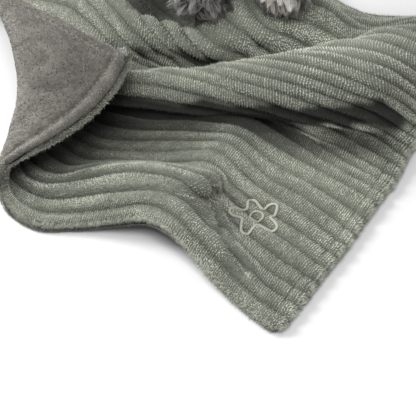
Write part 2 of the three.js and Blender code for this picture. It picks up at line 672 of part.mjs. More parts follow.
function arm(word, side, forward) {
  const shoulder = new THREE.Vector3(
    neck_pivot.x + side * arm_spread,
    neck_pivot.y - forward,
    neck_floor + shoulder_lift,
  );
  const level = { x: side * Math.sin(arm_splay), y: -Math.cos(arm_splay) };
  const slope = arm_length * Math.cos(arm_splay);
  let paw_z = shoulder.z - paw_radius;
  for (const share of [0.35, 0.6, 0.8, 1]) {
    const radius = shoulder_radius + (paw_radius - shoulder_radius) * share;
    const x = shoulder.x + level.x * arm_length * share;
    const y = shoulder.y + level.y * arm_length * share;
    const needed = restHeight(x, y, radius);
    paw_z = Math.max(paw_z, shoulder.z + (needed - shoulder.z) / share);
  }
  const direction = new THREE.Vector3(level.x * arm_length, level.y * slope, paw_z - shoulder.z).normalize();
  const inner_shoulder = shoulder_radius - arm_wall;
  const shell_outline = [
    ...pillOutline(shoulder_radius, paw_radius, shoulder_opening, 8),
    ...pillOutline(inner_shoulder, paw_radius - arm_wall, Math.min(shoulder_opening, inner_shoulder), 6).reverse(),
  ];
  const filling_outline = pillOutline(
    inner_shoulder - fit_gap,
    paw_radius - arm_wall - fit_gap,
    0.01,
    6,
  );
  filling_outline.push([0, -inner_shoulder + fit_gap]);
  const pieces = new THREE.Group();
  pieces.position.copy(shoulder);
  pieces.quaternion.setFromUnitVectors(new THREE.Vector3(0, 0, 1), direction);
  pieces.add(
    named(`${word}_arm_shell`, turned(shell_outline, arm_segments), colours.fur),
    named(`${word}_arm_stuffing`, turned(filling_outline, arm_segments), colours.stuffing),
  );
  return pieces;
}

const pieces = new THREE.Group();
pieces.add(
  ...blanket_parts,
  neck_stalk,
  gather_thread,
  head,
  arm('left', -1, left_arm_forward),
  arm('right', 1, right_arm_forward),
);
const extent = new THREE.Box3().setFromObject(pieces, true);
const footprint_middle = extent.getCenter(new THREE.Vector3());
pieces.position.set(-footprint_middle.x, -footprint_middle.y, -extent.min.z);

const lovey = new THREE.Group();
lovey.add(pieces);

export default lovey;
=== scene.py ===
"""The lovey's looks: a ribbed plush comfort blanket in folds, with a small furry rabbit sewn on."""

import math

import bpy
import numpy as np
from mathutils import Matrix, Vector
from mathutils.bvhtree import BVHTree


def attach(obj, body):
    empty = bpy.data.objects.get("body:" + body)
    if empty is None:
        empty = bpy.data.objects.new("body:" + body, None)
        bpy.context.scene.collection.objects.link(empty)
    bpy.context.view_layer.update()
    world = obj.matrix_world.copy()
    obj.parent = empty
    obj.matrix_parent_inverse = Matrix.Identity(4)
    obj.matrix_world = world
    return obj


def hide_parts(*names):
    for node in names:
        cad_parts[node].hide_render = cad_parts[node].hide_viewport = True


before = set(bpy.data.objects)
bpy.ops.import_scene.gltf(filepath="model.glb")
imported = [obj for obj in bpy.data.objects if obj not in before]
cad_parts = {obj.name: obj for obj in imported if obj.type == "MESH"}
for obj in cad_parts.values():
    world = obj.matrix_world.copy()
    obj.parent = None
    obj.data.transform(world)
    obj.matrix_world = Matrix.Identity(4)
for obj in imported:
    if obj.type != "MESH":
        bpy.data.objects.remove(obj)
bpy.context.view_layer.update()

# All lengths are in millimetres until a mesh is made. A place on the cloth is s from its left edge and t from
# its front edge, and each layer or tuft has an along (with growing s), an across (with growing t) and an out.
MM = 0.001
TURN = 2 * math.pi

# Blanket
SIDE = 300.0
SHIFT = (0.459, -0.0765, 0.0)
RIBS = 31
PITCH = SIDE / RIBS
HEM = 7.0
VALLEY = 0.4
CREST = 3.5
BACKING = 1.75
COLUMNS = 200
ROWS = 330
CORNER = 7.0
ROW_GAP = 1.3
TUFT_GAP = 0.72
TUFT_LENGTH = 1.6
NAP_DENSITY = 1.45
CREASE = [(207, 39), (213, 34), (224, 31), (238, 27), (246, 19), (255, 16), (267, 15)]
CREASE_DEPTH = 3.2
CREASE_LIP = 1.3
PIT_DEPTH = 6.5
ROLL_DROP = 7.0
STITCHES = 84
STITCH_HALF = 1.35

# Blossom on the front right corner
BLOSSOM_AT = (250.0, 50.0)
BLOSSOM_RADIUS = 10.5
BLOSSOM_WAVE = 3.2
PETALS = 5
HEART_RADIUS = 3.4

# Rabbit: a place on the head is its turn from the face and its rise above the middle, in radians.
NECK = np.array([28.475, 28.932, 63.415])
HEAD = NECK + [0.0, 0.0, 33.04]
HEAD_HALF = np.array([39.0, 36.0, 34.0])
SKIN_INSET = 2.8
EYE_TURN = {"left": -0.42, "right": 0.42}
EYE_RISE = 0.16
MUZZLE_RISE = -0.3
MUZZLE_HALF = (16.5, 11.5)
MUZZLE_BULGE = 5.6
MUZZLE_BASE = -2.2
EAR_ROOT = HEAD_HALF * [0.6, 0.17, 0.85]
ROOT_TO_BEND = np.array([29.5, 3.0, 1.2])
ROOT_TO_TIP = np.array([31.5, 7.0, -44.8])
EAR_WIDTH = 32.0
SHOULDERS = {
    "left": (np.array([11.475, 22.932, 57.015]), np.array([-0.1511, -0.9882, 0.0244])),
    "right": (np.array([45.475, 27.932, 57.015]), np.array([0.1509, -0.9875, 0.0459])),
}
ARM_LENGTH = 32.0
PAW = 15.0
SHOULDER = 6.0
EYE_HALF = (3.0, 3.75)
NOSE_HALF = (5.0, 3.5)
NOSE_UP = 5.28
NECK_LOW = -13.0
NECK_HIGH = 6.5
NECK_RADIUS = 6.6
GATHER_RADIUS = 9.1
GATHER_UP = -11.9

# Numbers of hairs and loose fibres
HEAD_HAIRS = 30000
MUZZLE_HAIRS = 6000
EAR_HAIRS = 9000
ARM_HAIRS = 12000
NECK_HAIRS = 1500
FACE_FIBRES = 22000
BACKING_FIBRES = 9000

# Floor, light and camera, in metres
FLOOR_HALF = 6
FLOOR_GAP = 0.0004
WORLD_LIGHT = 0.7
WORLD_SEEN = 1.05
PICTURE_SIDE = 416
CAMERA_AT = (0.01046, -0.70558, 0.6114)
CAMERA_TARGET = (0.01046, -0.11508, 0.0)
CAMERA_ANGLE = 0.25073

# How each wide rib lies: distance from the front edge, then x, y, z from the left edge to the right.
RIB_LINES = [
    [0, -32, -50, 46, -38, -73, 48, -49, -87, 43, -68, -97, 34, -85, -103, 26, -95, -105, 17, -97, -108, 8,
     -91, -119, 3, -76, -130, 2, -57, -131, 3, -38, -133, 8, -20, -138, 15, -9, -147, 17, 2, -157, 11,
     13, -170, 5, 28, -186, 2, 43, -201, 2],
    [14, -44, -42, 47, -50, -64, 51, -61, -81, 47, -77, -92, 39, -90, -96, 28, -96, -97, 17, -97, -100, 8,
     -90, -107, 4, -75, -119, 4, -58, -122, 7, -38, -125, 14, -21, -128, 20, -7, -137, 23, 7, -150, 16,
     21, -161, 8, 35, -176, 4, 51, -189, 2],
    [32, -59, -32, 48, -64, -55, 53, -73, -71, 49, -82, -80, 40, -90, -83, 27, -93, -83, 14, -91, -86, 5,
     -82, -98, 5, -69, -107, 9, -56, -107, 13, -41, -106, 16, -25, -108, 20, -8, -117, 25, 4, -125, 26,
     9, -121, 14, 11, -120, 5, 17, -132, 3, 29, -148, 4, 45, -165, 3, 60, -175, 2],
    [44, -69, -22, 47, -75, -43, 52, -82, -56, 48, -86, -63, 38, -89, -66, 25, -90, -67, 12, -87, -73, 4,
     -78, -83, 3, -65, -95, 5, -49, -96, 9, -33, -97, 12, -17, -102, 16, -2, -111, 22, 8, -115, 23,
     13, -112, 15, 13, -108, 6, 17, -115, 4, 29, -130, 4, 48, -149, 4, 66, -165, 2],
    [54, -79, -15, 46, -84, -32, 51, -88, -43, 47, -89, -49, 37, -88, -51, 23, -86, -54, 10, -83, -61, 3,
     -73, -72, 2, -57, -86, 2, -39, -87, 3, -20, -90, 4, -2, -94, 7, 10, -98, 11, 17, -101, 9,
     22, -108, 6, 31, -119, 5, 50, -137, 4, 72, -156, 2],
    [64, -88, -6, 45, -91, -19, 48, -93, -28, 44, -92, -34, 34, -89, -37, 21, -85, -42, 9, -79, -50, 3,
     -68, -64, 2, -51, -79, 3, -36, -82, 4, -19, -85, 6, 1, -87, 9, 14, -91, 13, 22, -99, 12, 32, -110, 8,
     52, -127, 6, 77, -148, 2],
    [80, -100, 5, 43, -100, -4, 43, -99, -11, 38, -95, -15, 28, -91, -18, 17, -85, -24, 8, -77, -34, 3,
     -65, -50, 3, -48, -66, 4, -32, -70, 5, -15, -72, 7, 7, -76, 10, 23, -84, 15, 30, -90, 12,
     42, -101, 8, 62, -114, 5, 85, -135, 2],
    [98, -110, 19, 36, -106, 12, 33, -101, 4, 26, -96, -2, 19, -90, -7, 11, -81, -14, 6, -72, -28, 3,
     -56, -40, 3, -38, -50, 5, -21, -57, 7, 6, -63, 11, 26, -72, 15, 35, -75, 12, 50, -84, 8, 73, -98, 5,
     97, -114, 2],
    [106, -115, 26, 32, -109, 18, 30, -102, 11, 24, -96, 4, 16, -89, -2, 9, -81, -9, 5, -68, -22, 4,
     -48, -34, 5, -21, -39, 6, 6, -45, 7, 30, -55, 8, 50, -71, 6, 75, -93, 5, 100, -109, 2],
    [112, -119, 33, 29, -112, 25, 27, -104, 17, 21, -96, 9, 14, -88, 2, 8, -79, -7, 5, -66, -19, 7,
     -49, -33, 9, -21, -37, 9, 6, -42, 8, 30, -46, 9, 52, -63, 7, 77, -89, 5, 103, -104, 2],
    [120, -123, 40, 24, -114, 31, 23, -104, 21, 18, -96, 13, 11, -86, 4, 8, -75, -12, 9, -60, -38, 15,
     -47, -48, 18, -21, -55, 19, 6, -58, 17, 26, -57, 17, 48, -60, 14, 63, -69, 8, 82, -85, 5,
     105, -102, 2],
    [130, -128, 48, 18, -118, 38, 17, -107, 28, 13, -96, 18, 9, -86, 8, 10, -75, -10, 16, -57, -43, 24,
     -44, -50, 26, -21, -55, 27, 6, -61, 27, 32, -65, 25, 51, -64, 19, 83, -78, 6, 109, -94, 2],
    [140, -133, 57, 13, -122, 46, 13, -110, 35, 10, -97, 24, 11, -87, 15, 15, -74, -4, 21, -54, -37, 27,
     -41, -47, 29, -21, -51, 31, 6, -60, 33, 32, -68, 32, 58, -68, 22, 76, -66, 14, 96, -74, 6,
     112, -87, 3],
    [150, -138, 66, 8, -125, 55, 9, -111, 44, 9, -96, 32, 14, -86, 23, 20, -76, 10, 26, -65, -2, 33,
     -49, -21, 32, -36, -25, 20, -23, -31, 16, -11, -43, 28, 6, -54, 34, 32, -66, 37, 58, -71, 33,
     85, -67, 18, 99, -67, 8, 115, -80, 3],
    [160, -141, 76, 5, -128, 65, 6, -113, 54, 9, -96, 42, 16, -85, 33, 23, -71, 20, 31, -53, -5, 37,
     -40, -20, 34, -24, -22, 22, -10, -31, 13, 3, -40, 25, 19, -54, 37, 32, -61, 39, 58, -69, 39,
     84, -70, 30, 104, -66, 16, 119, -72, 3],
    [170, -143, 87, 3, -130, 77, 5, -116, 67, 10, -100, 55, 20, -80, 39, 27, -62, 23, 34, -42, -9, 40,
     -29, -23, 35, -13, -23, 23, 0, -30, 12, 16, -39, 27, 32, -52, 38, 58, -65, 42, 83, -70, 38,
     102, -69, 28, 122, -66, 6],
    [180, -142, 97, 3, -128, 86, 5, -111, 74, 10, -90, 59, 18, -70, 43, 24, -52, 27, 30, -36, -5, 41,
     -21, -22, 37, -3, -24, 23, 10, -28, 11, 25, -38, 28, 42, -48, 38, 58, -58, 43, 83, -68, 43,
     102, -70, 38, 124, -65, 12],
    [190, -139, 107, 3, -122, 95, 5, -103, 82, 8, -80, 65, 12, -58, 47, 14, -40, 27, 14, -28, -6, 40,
     -23, -13, 41, -10, -24, 36, 7, -24, 23, 18, -27, 11, 33, -37, 29, 58, -49, 42, 83, -63, 46,
     101, -69, 44, 126, -64, 20],
    [200, -134, 117, 3, -116, 105, 5, -94, 90, 8, -69, 71, 10, -46, 49, 9, -28, 25, 7, -21, 7, 22,
     -13, -13, 40, 1, -28, 35, 17, -24, 23, 26, -28, 12, 41, -35, 28, 69, -46, 42, 84, -55, 46,
     101, -65, 48, 127, -63, 26],
    [210, -128, 127, 3, -108, 114, 5, -84, 98, 8, -58, 75, 9, -34, 50, 8, -16, 27, 6, -8, 7, 20,
     -2, -17, 39, 12, -31, 35, 28, -23, 22, 36, -27, 13, 52, -33, 30, 82, -45, 44, 102, -57, 49,
     128, -62, 35],
    [220, -121, 137, 3, -100, 122, 6, -74, 104, 9, -46, 80, 15, -22, 56, 23, -2, 35, 17, 8, 17, 28,
     11, -10, 41, 24, -24, 40, 39, -20, 27, 48, -24, 14, 64, -29, 28, 83, -31, 38, 103, -45, 47,
     129, -57, 42],
    [230, -113, 146, 3, -92, 131, 6, -66, 110, 10, -38, 84, 22, -11, 56, 34, 10, 37, 32, 19, 23, 42,
     26, -5, 44, 40, -22, 39, 54, -15, 29, 68, -17, 18, 88, -27, 33, 104, -32, 43, 131, -51, 46],
    [240, -105, 155, 3, -84, 139, 6, -56, 115, 11, -27, 87, 25, 0, 57, 37, 19, 37, 44, 29, 25, 49,
     40, 13, 45, 41, -8, 40, 56, -11, 36, 70, -7, 27, 86, -11, 20, 106, -16, 34, 132, -40, 46],
    [252, -96, 164, 3, -74, 146, 6, -45, 121, 10, -15, 91, 22, 11, 59, 35, 27, 39, 44, 37, 28, 47,
     48, 17, 43, 55, 6, 37, 72, 6, 33, 86, 1, 24, 101, -4, 20, 121, -5, 28, 138, -9, 35],
    [266, -86, 175, 3, -62, 154, 6, -32, 127, 10, -2, 97, 15, 24, 67, 26, 40, 47, 34, 56, 33, 32,
     71, 21, 26, 87, 13, 19, 104, 9, 17, 121, 7, 21, 139, 4, 24],
    [283, -75, 188, 3, -50, 163, 5, -18, 133, 8, 12, 101, 12, 34, 77, 18, 50, 61, 19, 66, 46, 16,
     84, 31, 11, 104, 23, 8, 123, 21, 9, 141, 18, 11],
    [300, -64, 201, 2, -38, 173, 3, -6, 141, 5, 24, 111, 6, 44, 92, 8, 59, 76, 8, 72, 60, 6, 85, 44, 4,
     101, 34, 3, 121, 31, 3, 142, 29, 3],
]


# Numbers

def unit(v):
    return v / np.maximum(np.linalg.norm(v, axis=-1, keepdims=True), 1e-9)


def smoothstep(low, high, x):
    k = np.clip((x - low) / (high - low), 0, 1)
    return k * k * (3 - 2 * k)


def hill(x, middle, width, power=2):
    """1 at the middle, falling to 0 on both sides."""
    return np.exp(-(((x - middle) / width) ** power))


def circle(count):
    return np.linspace(0, TURN, count, endpoint=False)


def within(flow, out):
    """A direction laid into the surface that faces out."""
    return unit(flow - out * np.sum(flow * out, 1)[:, None])


def field(s, t, cell_s, cell_t, seed):
    """A smooth random field of about -1 to 1 over the cloth."""
    size = 64
    grid = np.random.default_rng(seed).uniform(-1, 1, (size, size))
    x, y = np.asarray(s) / cell_s, np.asarray(t) / cell_t
    i, j = np.floor(x).astype(int), np.floor(y).astype(int)
    u, v = smoothstep(0, 1, x - i), smoothstep(0, 1, y - j)
    g = lambda a, b: grid[(j + b) % size, (i + a) % size]
    near = g(0, 0) * (1 - u) + g(1, 0) * u
    far = g(0, 1) * (1 - u) + g(1, 1) * u
    return near * (1 - v) + far * v


def spline(points, at):
    """Centripetal curve through points (n, ..., 3) at shares 0 to 1."""
    p = np.asarray(points, float)
    n = len(p)
    p = np.concatenate([(2 * p[0] - p[1])[None], p, (2 * p[-1] - p[-2])[None]])
    place = np.asarray(at) * (n - 1)
    k = np.clip(np.floor(place).astype(int), 0, n - 2)
    w = (place - k).reshape(-1, *[1] * (p.ndim - 1))
    a, b, c, d = (p[k + m] for m in range(4))
    gap = lambda x, y: np.sum((x - y) ** 2, -1, keepdims=True) ** 0.25
    ab, bc, cd = gap(a, b), gap(b, c), gap(c, d)
    bc = np.where(bc < 1e-4, 1, bc)
    ab, cd = np.where(ab < 1e-4, bc, ab), np.where(cd < 1e-4, bc, cd)
    start = ((b - a) / ab - (c - a) / (ab + bc) + (c - b) / bc) * bc
    end = ((c - b) / bc - (d - b) / (bc + cd) + (d - c) / cd) * bc
    return b + w * (start + w * ((3 * c - 3 * b - 2 * start - end) + w * (2 * b - 2 * c + start + end)))


def length_along(line):
    return np.r_[0, np.cumsum(np.linalg.norm(np.diff(line, axis=0), axis=1))]


def by_length(points, at):
    """The same curve, evenly by its length."""
    shares = np.linspace(0, 1, 201)
    run = length_along(spline(points, shares))
    return spline(points, np.interp(at, run / run[-1], shares))


def ball_points(count, seed):
    """Even, jittered directions over a ball."""
    r = np.random.default_rng(seed)
    k = np.arange(count) + 0.5
    z = 1 - 2 * k / count
    turn = math.pi * (1 + math.sqrt(5)) * k
    flat = np.sqrt(1 - z * z)
    v = np.stack([flat * np.cos(turn), flat * np.sin(turn), z], 1)
    return unit(v + r.normal(0, 0.6 / math.sqrt(count), (count, 3)))


# Meshes

def make_mesh(name, points, polygons, finish, maps, normals=None, smooth=True):
    """An object from points in millimetres, polygons of one size and per-point maps {name: (n, 2)}."""
    mesh = bpy.data.meshes.new(name)
    points = np.maximum(points, [-np.inf, -np.inf, 0.0])
    polygons = np.asarray(polygons, np.int32)
    mesh.vertices.add(len(points))
    mesh.vertices.foreach_set("co", (points * MM).astype(np.float32).ravel())
    mesh.loops.add(polygons.size)
    mesh.loops.foreach_set("vertex_index", polygons.ravel())
    mesh.polygons.add(len(polygons))
    mesh.polygons.foreach_set("loop_start", np.arange(0, polygons.size, polygons.shape[1], dtype=np.int32))
    mesh.polygons.foreach_set("use_smooth", np.full(len(polygons), smooth))
    for key, uv in maps.items():
        uv_layer = mesh.uv_layers.new(name=key)
        uv_layer.data.foreach_set("uv", np.asarray(uv, np.float32)[polygons.ravel()].ravel())
    if normals is not None:
        attribute = mesh.attributes.new("pile_normal", "FLOAT_VECTOR", "POINT")
        attribute.data.foreach_set("vector", np.asarray(normals, np.float32).ravel())
    mesh.materials.append(finish)
    mesh.update(calc_edges=True)
    mesh.validate()
    obj = bpy.data.objects.new(name, mesh)
    bpy.context.scene.collection.objects.link(obj)
    return obj


def grid_quads(rows, columns, around=False):
    """Quads of a grid of rows by columns points; around joins the last column to the first."""
    j, i = np.meshgrid(np.arange(rows - 1), np.arange(columns if around else columns - 1), indexing="ij")
    k = (i + 1) % columns
    near, far = j * columns, (j + 1) * columns
    return np.stack([near + i, near + k, far + k, far + i], -1).reshape(-1, 4)


def grid_normals(grid):
    return unit(np.cross(np.gradient(grid, axis=1), np.gradient(grid, axis=0)))


def flat_map(a, b):
    """A map over a grid from the values of its columns and its rows."""
    return np.stack(np.meshgrid(a, b), -1).reshape(-1, 2)


def pile_mesh(name, points, faces, rise, leaf, patch, tones, normals, finish, smooth=True):
    """Many small leaves (n, k, 3) of the same faces, with the rise and the leaf on the map of each point."""
    n, k = points.shape[:2]
    first = k * np.arange(n)[:, None]
    triangles = np.concatenate([first + corners for corners in faces])
    strand = np.stack([np.repeat(tones, k), np.tile(rise, n)], 1)
    maps = {"OFBake": (patch[:, None] + leaf).reshape(-1, 2), "strand": strand}
    return make_mesh(name, points.reshape(-1, 3), triangles, finish, maps, np.repeat(normals, k, 0), smooth)


def blades(name, roots, directions, turned_by, normals, lengths, widths, patch, tones, finish):
    """Short pile: one tapered leaf for each root, flat across its direction and a second one."""
    sides = unit(np.cross(directions, turned_by))
    half = sides * (widths / 2)[:, None]
    reach = directions * lengths[:, None]
    points = np.stack([roots - half, roots + half, roots + half * 0.55 + reach * 0.7, roots + reach], 1)
    leaf = np.array([[-0.2, 0.0], [0.2, 0.0], [0.12, 0.3], [0.0, 0.45]])
    return pile_mesh(name, points, [[0, 1, 2], [0, 2, 3]], [0.0, 0.0, 0.7, 1.0], leaf / SIDE, patch / SIDE,
                     tones, normals, finish)


def cones(name, roots, directions, halves, normals, lengths, patch, tones, finish, spin_seed):
    """Short clumped pile: a three-sided leaning tuft for each root, on an oval of two half widths."""
    spin = np.random.default_rng(spin_seed).uniform(0, TURN, len(roots))
    base = []
    for k in range(3):
        angle = spin + TURN * k / 3
        base.append(roots + halves[0] * np.cos(angle)[:, None] + halves[1] * np.sin(angle)[:, None])
    points = np.stack([*base, roots + directions * lengths[:, None]], 1)
    leaf = np.array([[-0.3, 0.0], [0.3, 0.0], [0.0, 0.4], [0.0, 0.15]])
    return pile_mesh(name, points, [[0, 1, 3], [1, 2, 3], [2, 0, 3]], [0.0, 0.0, 0.0, 1.0], leaf / SIDE,
                     patch / SIDE, tones, normals, finish, smooth=False)


def strands(name, roots, normals, flows, lengths, width, patch, seed, lift=0.5, clump=0.55, frizz=0.18,
            cell=2.2, tone=1.0, swirl=0.15):
    """Long pile: curved, clumped ribbons of fur that rise from the skin and lie over along flows."""
    r = np.random.default_rng(seed)
    n = len(roots)
    lengths = np.broadcast_to(lengths, n) * r.uniform(0.75, 1.15, n)
    key = np.floor(roots / cell + r.uniform(0, 1, 3)).astype(np.int64)
    _, lock = np.unique(key, axis=0, return_inverse=True)
    lock = lock.ravel()
    count = np.bincount(lock)
    turn = r.normal(0, swirl, (len(count), 3))[lock]
    first = unit(normals + flows * (1 - lift) + turn + r.normal(0, frizz, (n, 3)))
    last = unit(normals * lift * 0.5 + flows + 1.5 * turn + r.normal(0, frizz, (n, 3)))
    line = []
    for u in (0.0, 0.35, 0.7, 1.0):
        point = roots + lengths[:, None] * (first * (u - u * u / 2) + last * (u * u / 2))
        middle = np.stack([np.bincount(lock, point[:, a]) / count for a in range(3)], 1)[lock]
        line.append(point + (middle - point) * (clump * u ** 1.5))
    sides = unit(np.cross(last, normals + r.normal(0, 0.6, (n, 3))))
    ribbon = []
    for point, share in zip(line, (0.8, 1.0, 0.7)):
        half = sides * (width * share / 2)
        ribbon += [point - half, point + half]
    points = np.stack([*ribbon, line[3]], 1)
    faces = [[0, 1, 3], [0, 3, 2], [2, 3, 5], [2, 5, 4], [4, 5, 6]]
    rise = np.array([0, 0, 0.35, 0.35, 0.7, 0.7, 1.0])
    sway = np.array([-1, 1, -1, 1, -0.7, 0.7, 0.0])
    own = 0.09 * r.standard_normal(n)
    tones = tone * np.clip(1 + own + 0.13 * r.standard_normal(len(count))[lock], 0.7, 1.3)
    # The light falls on the fur as on its skin, a little turned with each lock.
    turned = unit(normals + 0.35 * last + 0.25 * r.standard_normal((len(count), 3))[lock])
    leaf = np.stack([sway * 0.0012, rise * 0.004], 1)
    return pile_mesh(name, points, faces, rise, leaf, patch, tones, turned, fur)


def tube(name, path, up, width, height, finish, closed=False, around=8):
    """A thread along a path, with an oval section of a width and a height."""
    path = np.asarray(path, float)
    along = unit(np.roll(path, -1, 0) - np.roll(path, 1, 0) if closed else np.gradient(path, axis=0))
    side = unit(np.cross(up, along))
    rise = unit(np.cross(along, side))
    angle = circle(around)
    taper = np.ones(len(path))
    if not closed:
        taper[[0, -1]] = 0.15
    wide = taper[:, None] * np.cos(angle) * width / 2
    high = taper[:, None] * np.sin(angle) * height / 2
    ring = path[:, None] + side[:, None] * wide[..., None] + rise[:, None] * high[..., None]
    faces = grid_quads(len(path), around, True)
    if closed:
        i = np.arange(around)
        k = (i + 1) % around
        last = (len(path) - 1) * around
        faces = np.concatenate([faces, np.stack([last + i, last + k, k, i], 1)])
    return make_mesh(name, ring.reshape(-1, 3), faces, finish,
                     {"OFBake": flat_map(angle / 60, length_along(path) / SIDE)[:, ::-1]})


# Node helpers

def srgb(red, green, blue):
    """A colour given as it looks on a screen, 0 to 255."""
    f = lambda c: c / 12.92 if c <= 0.04045 else ((c + 0.055) / 1.055) ** 2.4
    return (f(red / 255), f(green / 255), f(blue / 255), 1.0)


def feed(tree, socket, value):
    """Links a socket to another, or sets its value."""
    if isinstance(value, bpy.types.NodeSocket):
        tree.links.new(value, socket)
    else:
        socket.default_value = value


def node(tree, kind, settings=None, **inputs):
    """A node with its settings and its inputs, by name or as in0, in1 and so on."""
    made = tree.nodes.new(kind)
    for key, value in (settings or {}).items():
        setattr(made, key, value)
    for key, value in inputs.items():
        at = int(key[2:]) if key.startswith("in") and key[2:].isdigit() else key.replace("_", " ")
        feed(tree, made.inputs[at], value)
    return made


def maths(tree, operation, a, b=0.0, c=0.0):
    return node(tree, "ShaderNodeMath", {"operation": operation}, in0=a, in1=b, in2=c).outputs[0]


def vector_maths(tree, operation, output="Vector", **inputs):
    return node(tree, "ShaderNodeVectorMath", {"operation": operation}, **inputs).outputs[output]


def mixed(tree, share, a, b, blend="MIX"):
    settings = {"data_type": "RGBA", "blend_type": blend}
    return node(tree, "ShaderNodeMix", settings, in0=share, in6=a, in7=b).outputs[2]


def grey(tree, value):
    return node(tree, "ShaderNodeCombineColor", None, in0=value, in1=value, in2=value).outputs[0]


def shaded(tree, colour, value):
    """A colour times a value."""
    return mixed(tree, 1.0, colour, grey(tree, value), "MULTIPLY")


def parts(tree, value):
    return node(tree, "ShaderNodeSeparateXYZ", None, in0=value).outputs


def ranged(tree, value, low, high, to_low=0.0, to_high=1.0):
    inputs = {"From Min": low, "From Max": high, "To Min": to_low, "To Max": to_high}
    return node(tree, "ShaderNodeMapRange", None, Value=value, **inputs).outputs[0]


def spread(tree, value, low, high):
    """Noise, which lies between about 0.3 and 0.7, brought to a range."""
    return ranged(tree, value, 0.3, 0.7, low, high)


def stretched(tree, place, x, y):
    return vector_maths(tree, "MULTIPLY", in0=place, in1=(x, y, 1.0))


def noise(tree, place, x, y, detail=2.0, rough=0.5, distortion=0.0):
    """Noise of so many grains to a unit of the place in x and in y."""
    inputs = {"Scale": 1.0, "Detail": detail, "Roughness": rough, "Distortion": distortion}
    return node(tree, "ShaderNodeTexNoise", None, Vector=stretched(tree, place, x, y), **inputs).outputs[0]


def bumped(tree, height, strength, distance):
    return node(tree, "ShaderNodeBump", None, Height=height, Strength=strength, Distance=distance).outputs[0]


def uv_map(tree, name="OFBake"):
    return node(tree, "ShaderNodeUVMap", {"uv_map": name}).outputs[0]


def on_map(tree):
    """The place on the piece's map in millimetres."""
    return stretched(tree, uv_map(tree), SIDE, SIDE)


def group(inputs, outputs):
    """Makes a node group of a function (tree, inputs) that gives the group's outputs by name."""
    def made(build):
        tree = bpy.data.node_groups.new(build.__name__, "ShaderNodeTree")
        for way, sockets in (("INPUT", inputs), ("OUTPUT", outputs)):
            for key, kind in sockets.items():
                tree.interface.new_socket(name=key, in_out=way, socket_type="NodeSocket" + kind)
        start = tree.nodes.new("NodeGroupInput")
        end = tree.nodes.new("NodeGroupOutput")
        for key, socket in build(tree, {s.name: s for s in start.outputs if s.name}).items():
            tree.links.new(socket, end.inputs[key])
        return tree
    return made


def use(tree, made, **inputs):
    return node(tree, "ShaderNodeGroup", {"node_tree": made}, **inputs).outputs


def material(build, name=None):
    """A material of a function (tree) that gives the inputs of its surface by name."""
    made = bpy.data.materials.new(name or build.__name__)
    made.use_nodes = True
    tree = made.node_tree
    for key, value in build(tree).items():
        feed(tree, tree.nodes["Principled BSDF"].inputs[key], value)
    return made


def soft(colour, normal, rough, gloss=0.08, sheen=0.0, sheen_rough=0.5, sheen_tint=(1.0, 1.0, 1.0, 1.0)):
    """The inputs of a soft surface."""
    return {"Base Color": colour, "Normal": normal, "Roughness": rough, "Specular IOR Level": gloss,
            "Sheen Weight": sheen, "Sheen Roughness": sheen_rough, "Sheen Tint": sheen_tint}


# Shared effects

@group({"Place": "Vector", "Dark": "Color", "Light": "Color", "Deep": "Color", "Ribs": "Float"},
       {"Colour": "Color", "Height": "Float"})
def plush_rows(tree, inputs):
    """Rows of pile across the ribs, crushed patches and the shade between the ribs."""
    place = stretched(tree, inputs["Place"], SIDE, SIDE)
    rows = noise(tree, place, 0.95, 0.2, rough=0.55, distortion=0.4)
    grain = noise(tree, place, 2.6, 1.1, rough=0.6)
    patches = noise(tree, place, 0.055, 0.085, rough=0.55, distortion=0.6)
    smudges = noise(tree, place, 0.14, 0.3, rough=0.6, distortion=0.8)
    turn = maths(tree, "MULTIPLY", parts(tree, inputs["Place"])[1], math.pi * RIBS)
    wave = maths(tree, "ABSOLUTE", maths(tree, "SINE", turn))
    groove = maths(tree, "SUBTRACT", 1.0, maths(tree, "POWER", wave, 0.7))
    groove = maths(tree, "MULTIPLY", groove, inputs["Ribs"])
    tone = spread(tree, rows, -0.2, 0.2)
    for pattern, low, high in ((grain, -0.1, 0.1), (patches, 0.34, 0.66), (smudges, -0.1, 0.1)):
        tone = maths(tree, "ADD", tone, spread(tree, pattern, low, high))
    colour = mixed(tree, groove, mixed(tree, tone, inputs["Dark"], inputs["Light"]), inputs["Deep"])
    height = maths(tree, "ADD", maths(tree, "MULTIPLY", rows, 0.75), maths(tree, "MULTIPLY", grain, 0.25))
    return {"Colour": colour, "Height": height}


@group({"Strand": "Vector", "Root": "Color", "Tip": "Color", "Reach": "Float", "Facing": "Float"},
       {"Colour": "Color", "Normal": "Vector"})
def strand_shade(tree, inputs):
    """The shade along each strand, its tone (on the cloth with painted shade and light in it), and the normal
    of the skin under it.
    """
    own, rise = parts(tree, inputs["Strand"])[:2]
    rise = maths(tree, "POWER", ranged(tree, rise, 0.0, 1.0), inputs["Reach"])
    colour = shaded(tree, mixed(tree, rise, inputs["Root"], inputs["Tip"]), own)
    skin = node(tree, "ShaderNodeAttribute", {"attribute_name": "pile_normal"}).outputs["Vector"]
    turn = {"vector_type": "NORMAL", "convert_from": "OBJECT", "convert_to": "WORLD"}
    skin = node(tree, "ShaderNodeVectorTransform", turn, in0=skin).outputs[0]
    own_normal = node(tree, "ShaderNodeNewGeometry").outputs["Normal"]
    part = vector_maths(tree, "SCALE", in0=own_normal, Scale=inputs["Facing"])
    facing = vector_maths(tree, "ADD", in0=skin, in1=part)
    return {"Colour": colour, "Normal": vector_maths(tree, "NORMALIZE", in0=facing)}


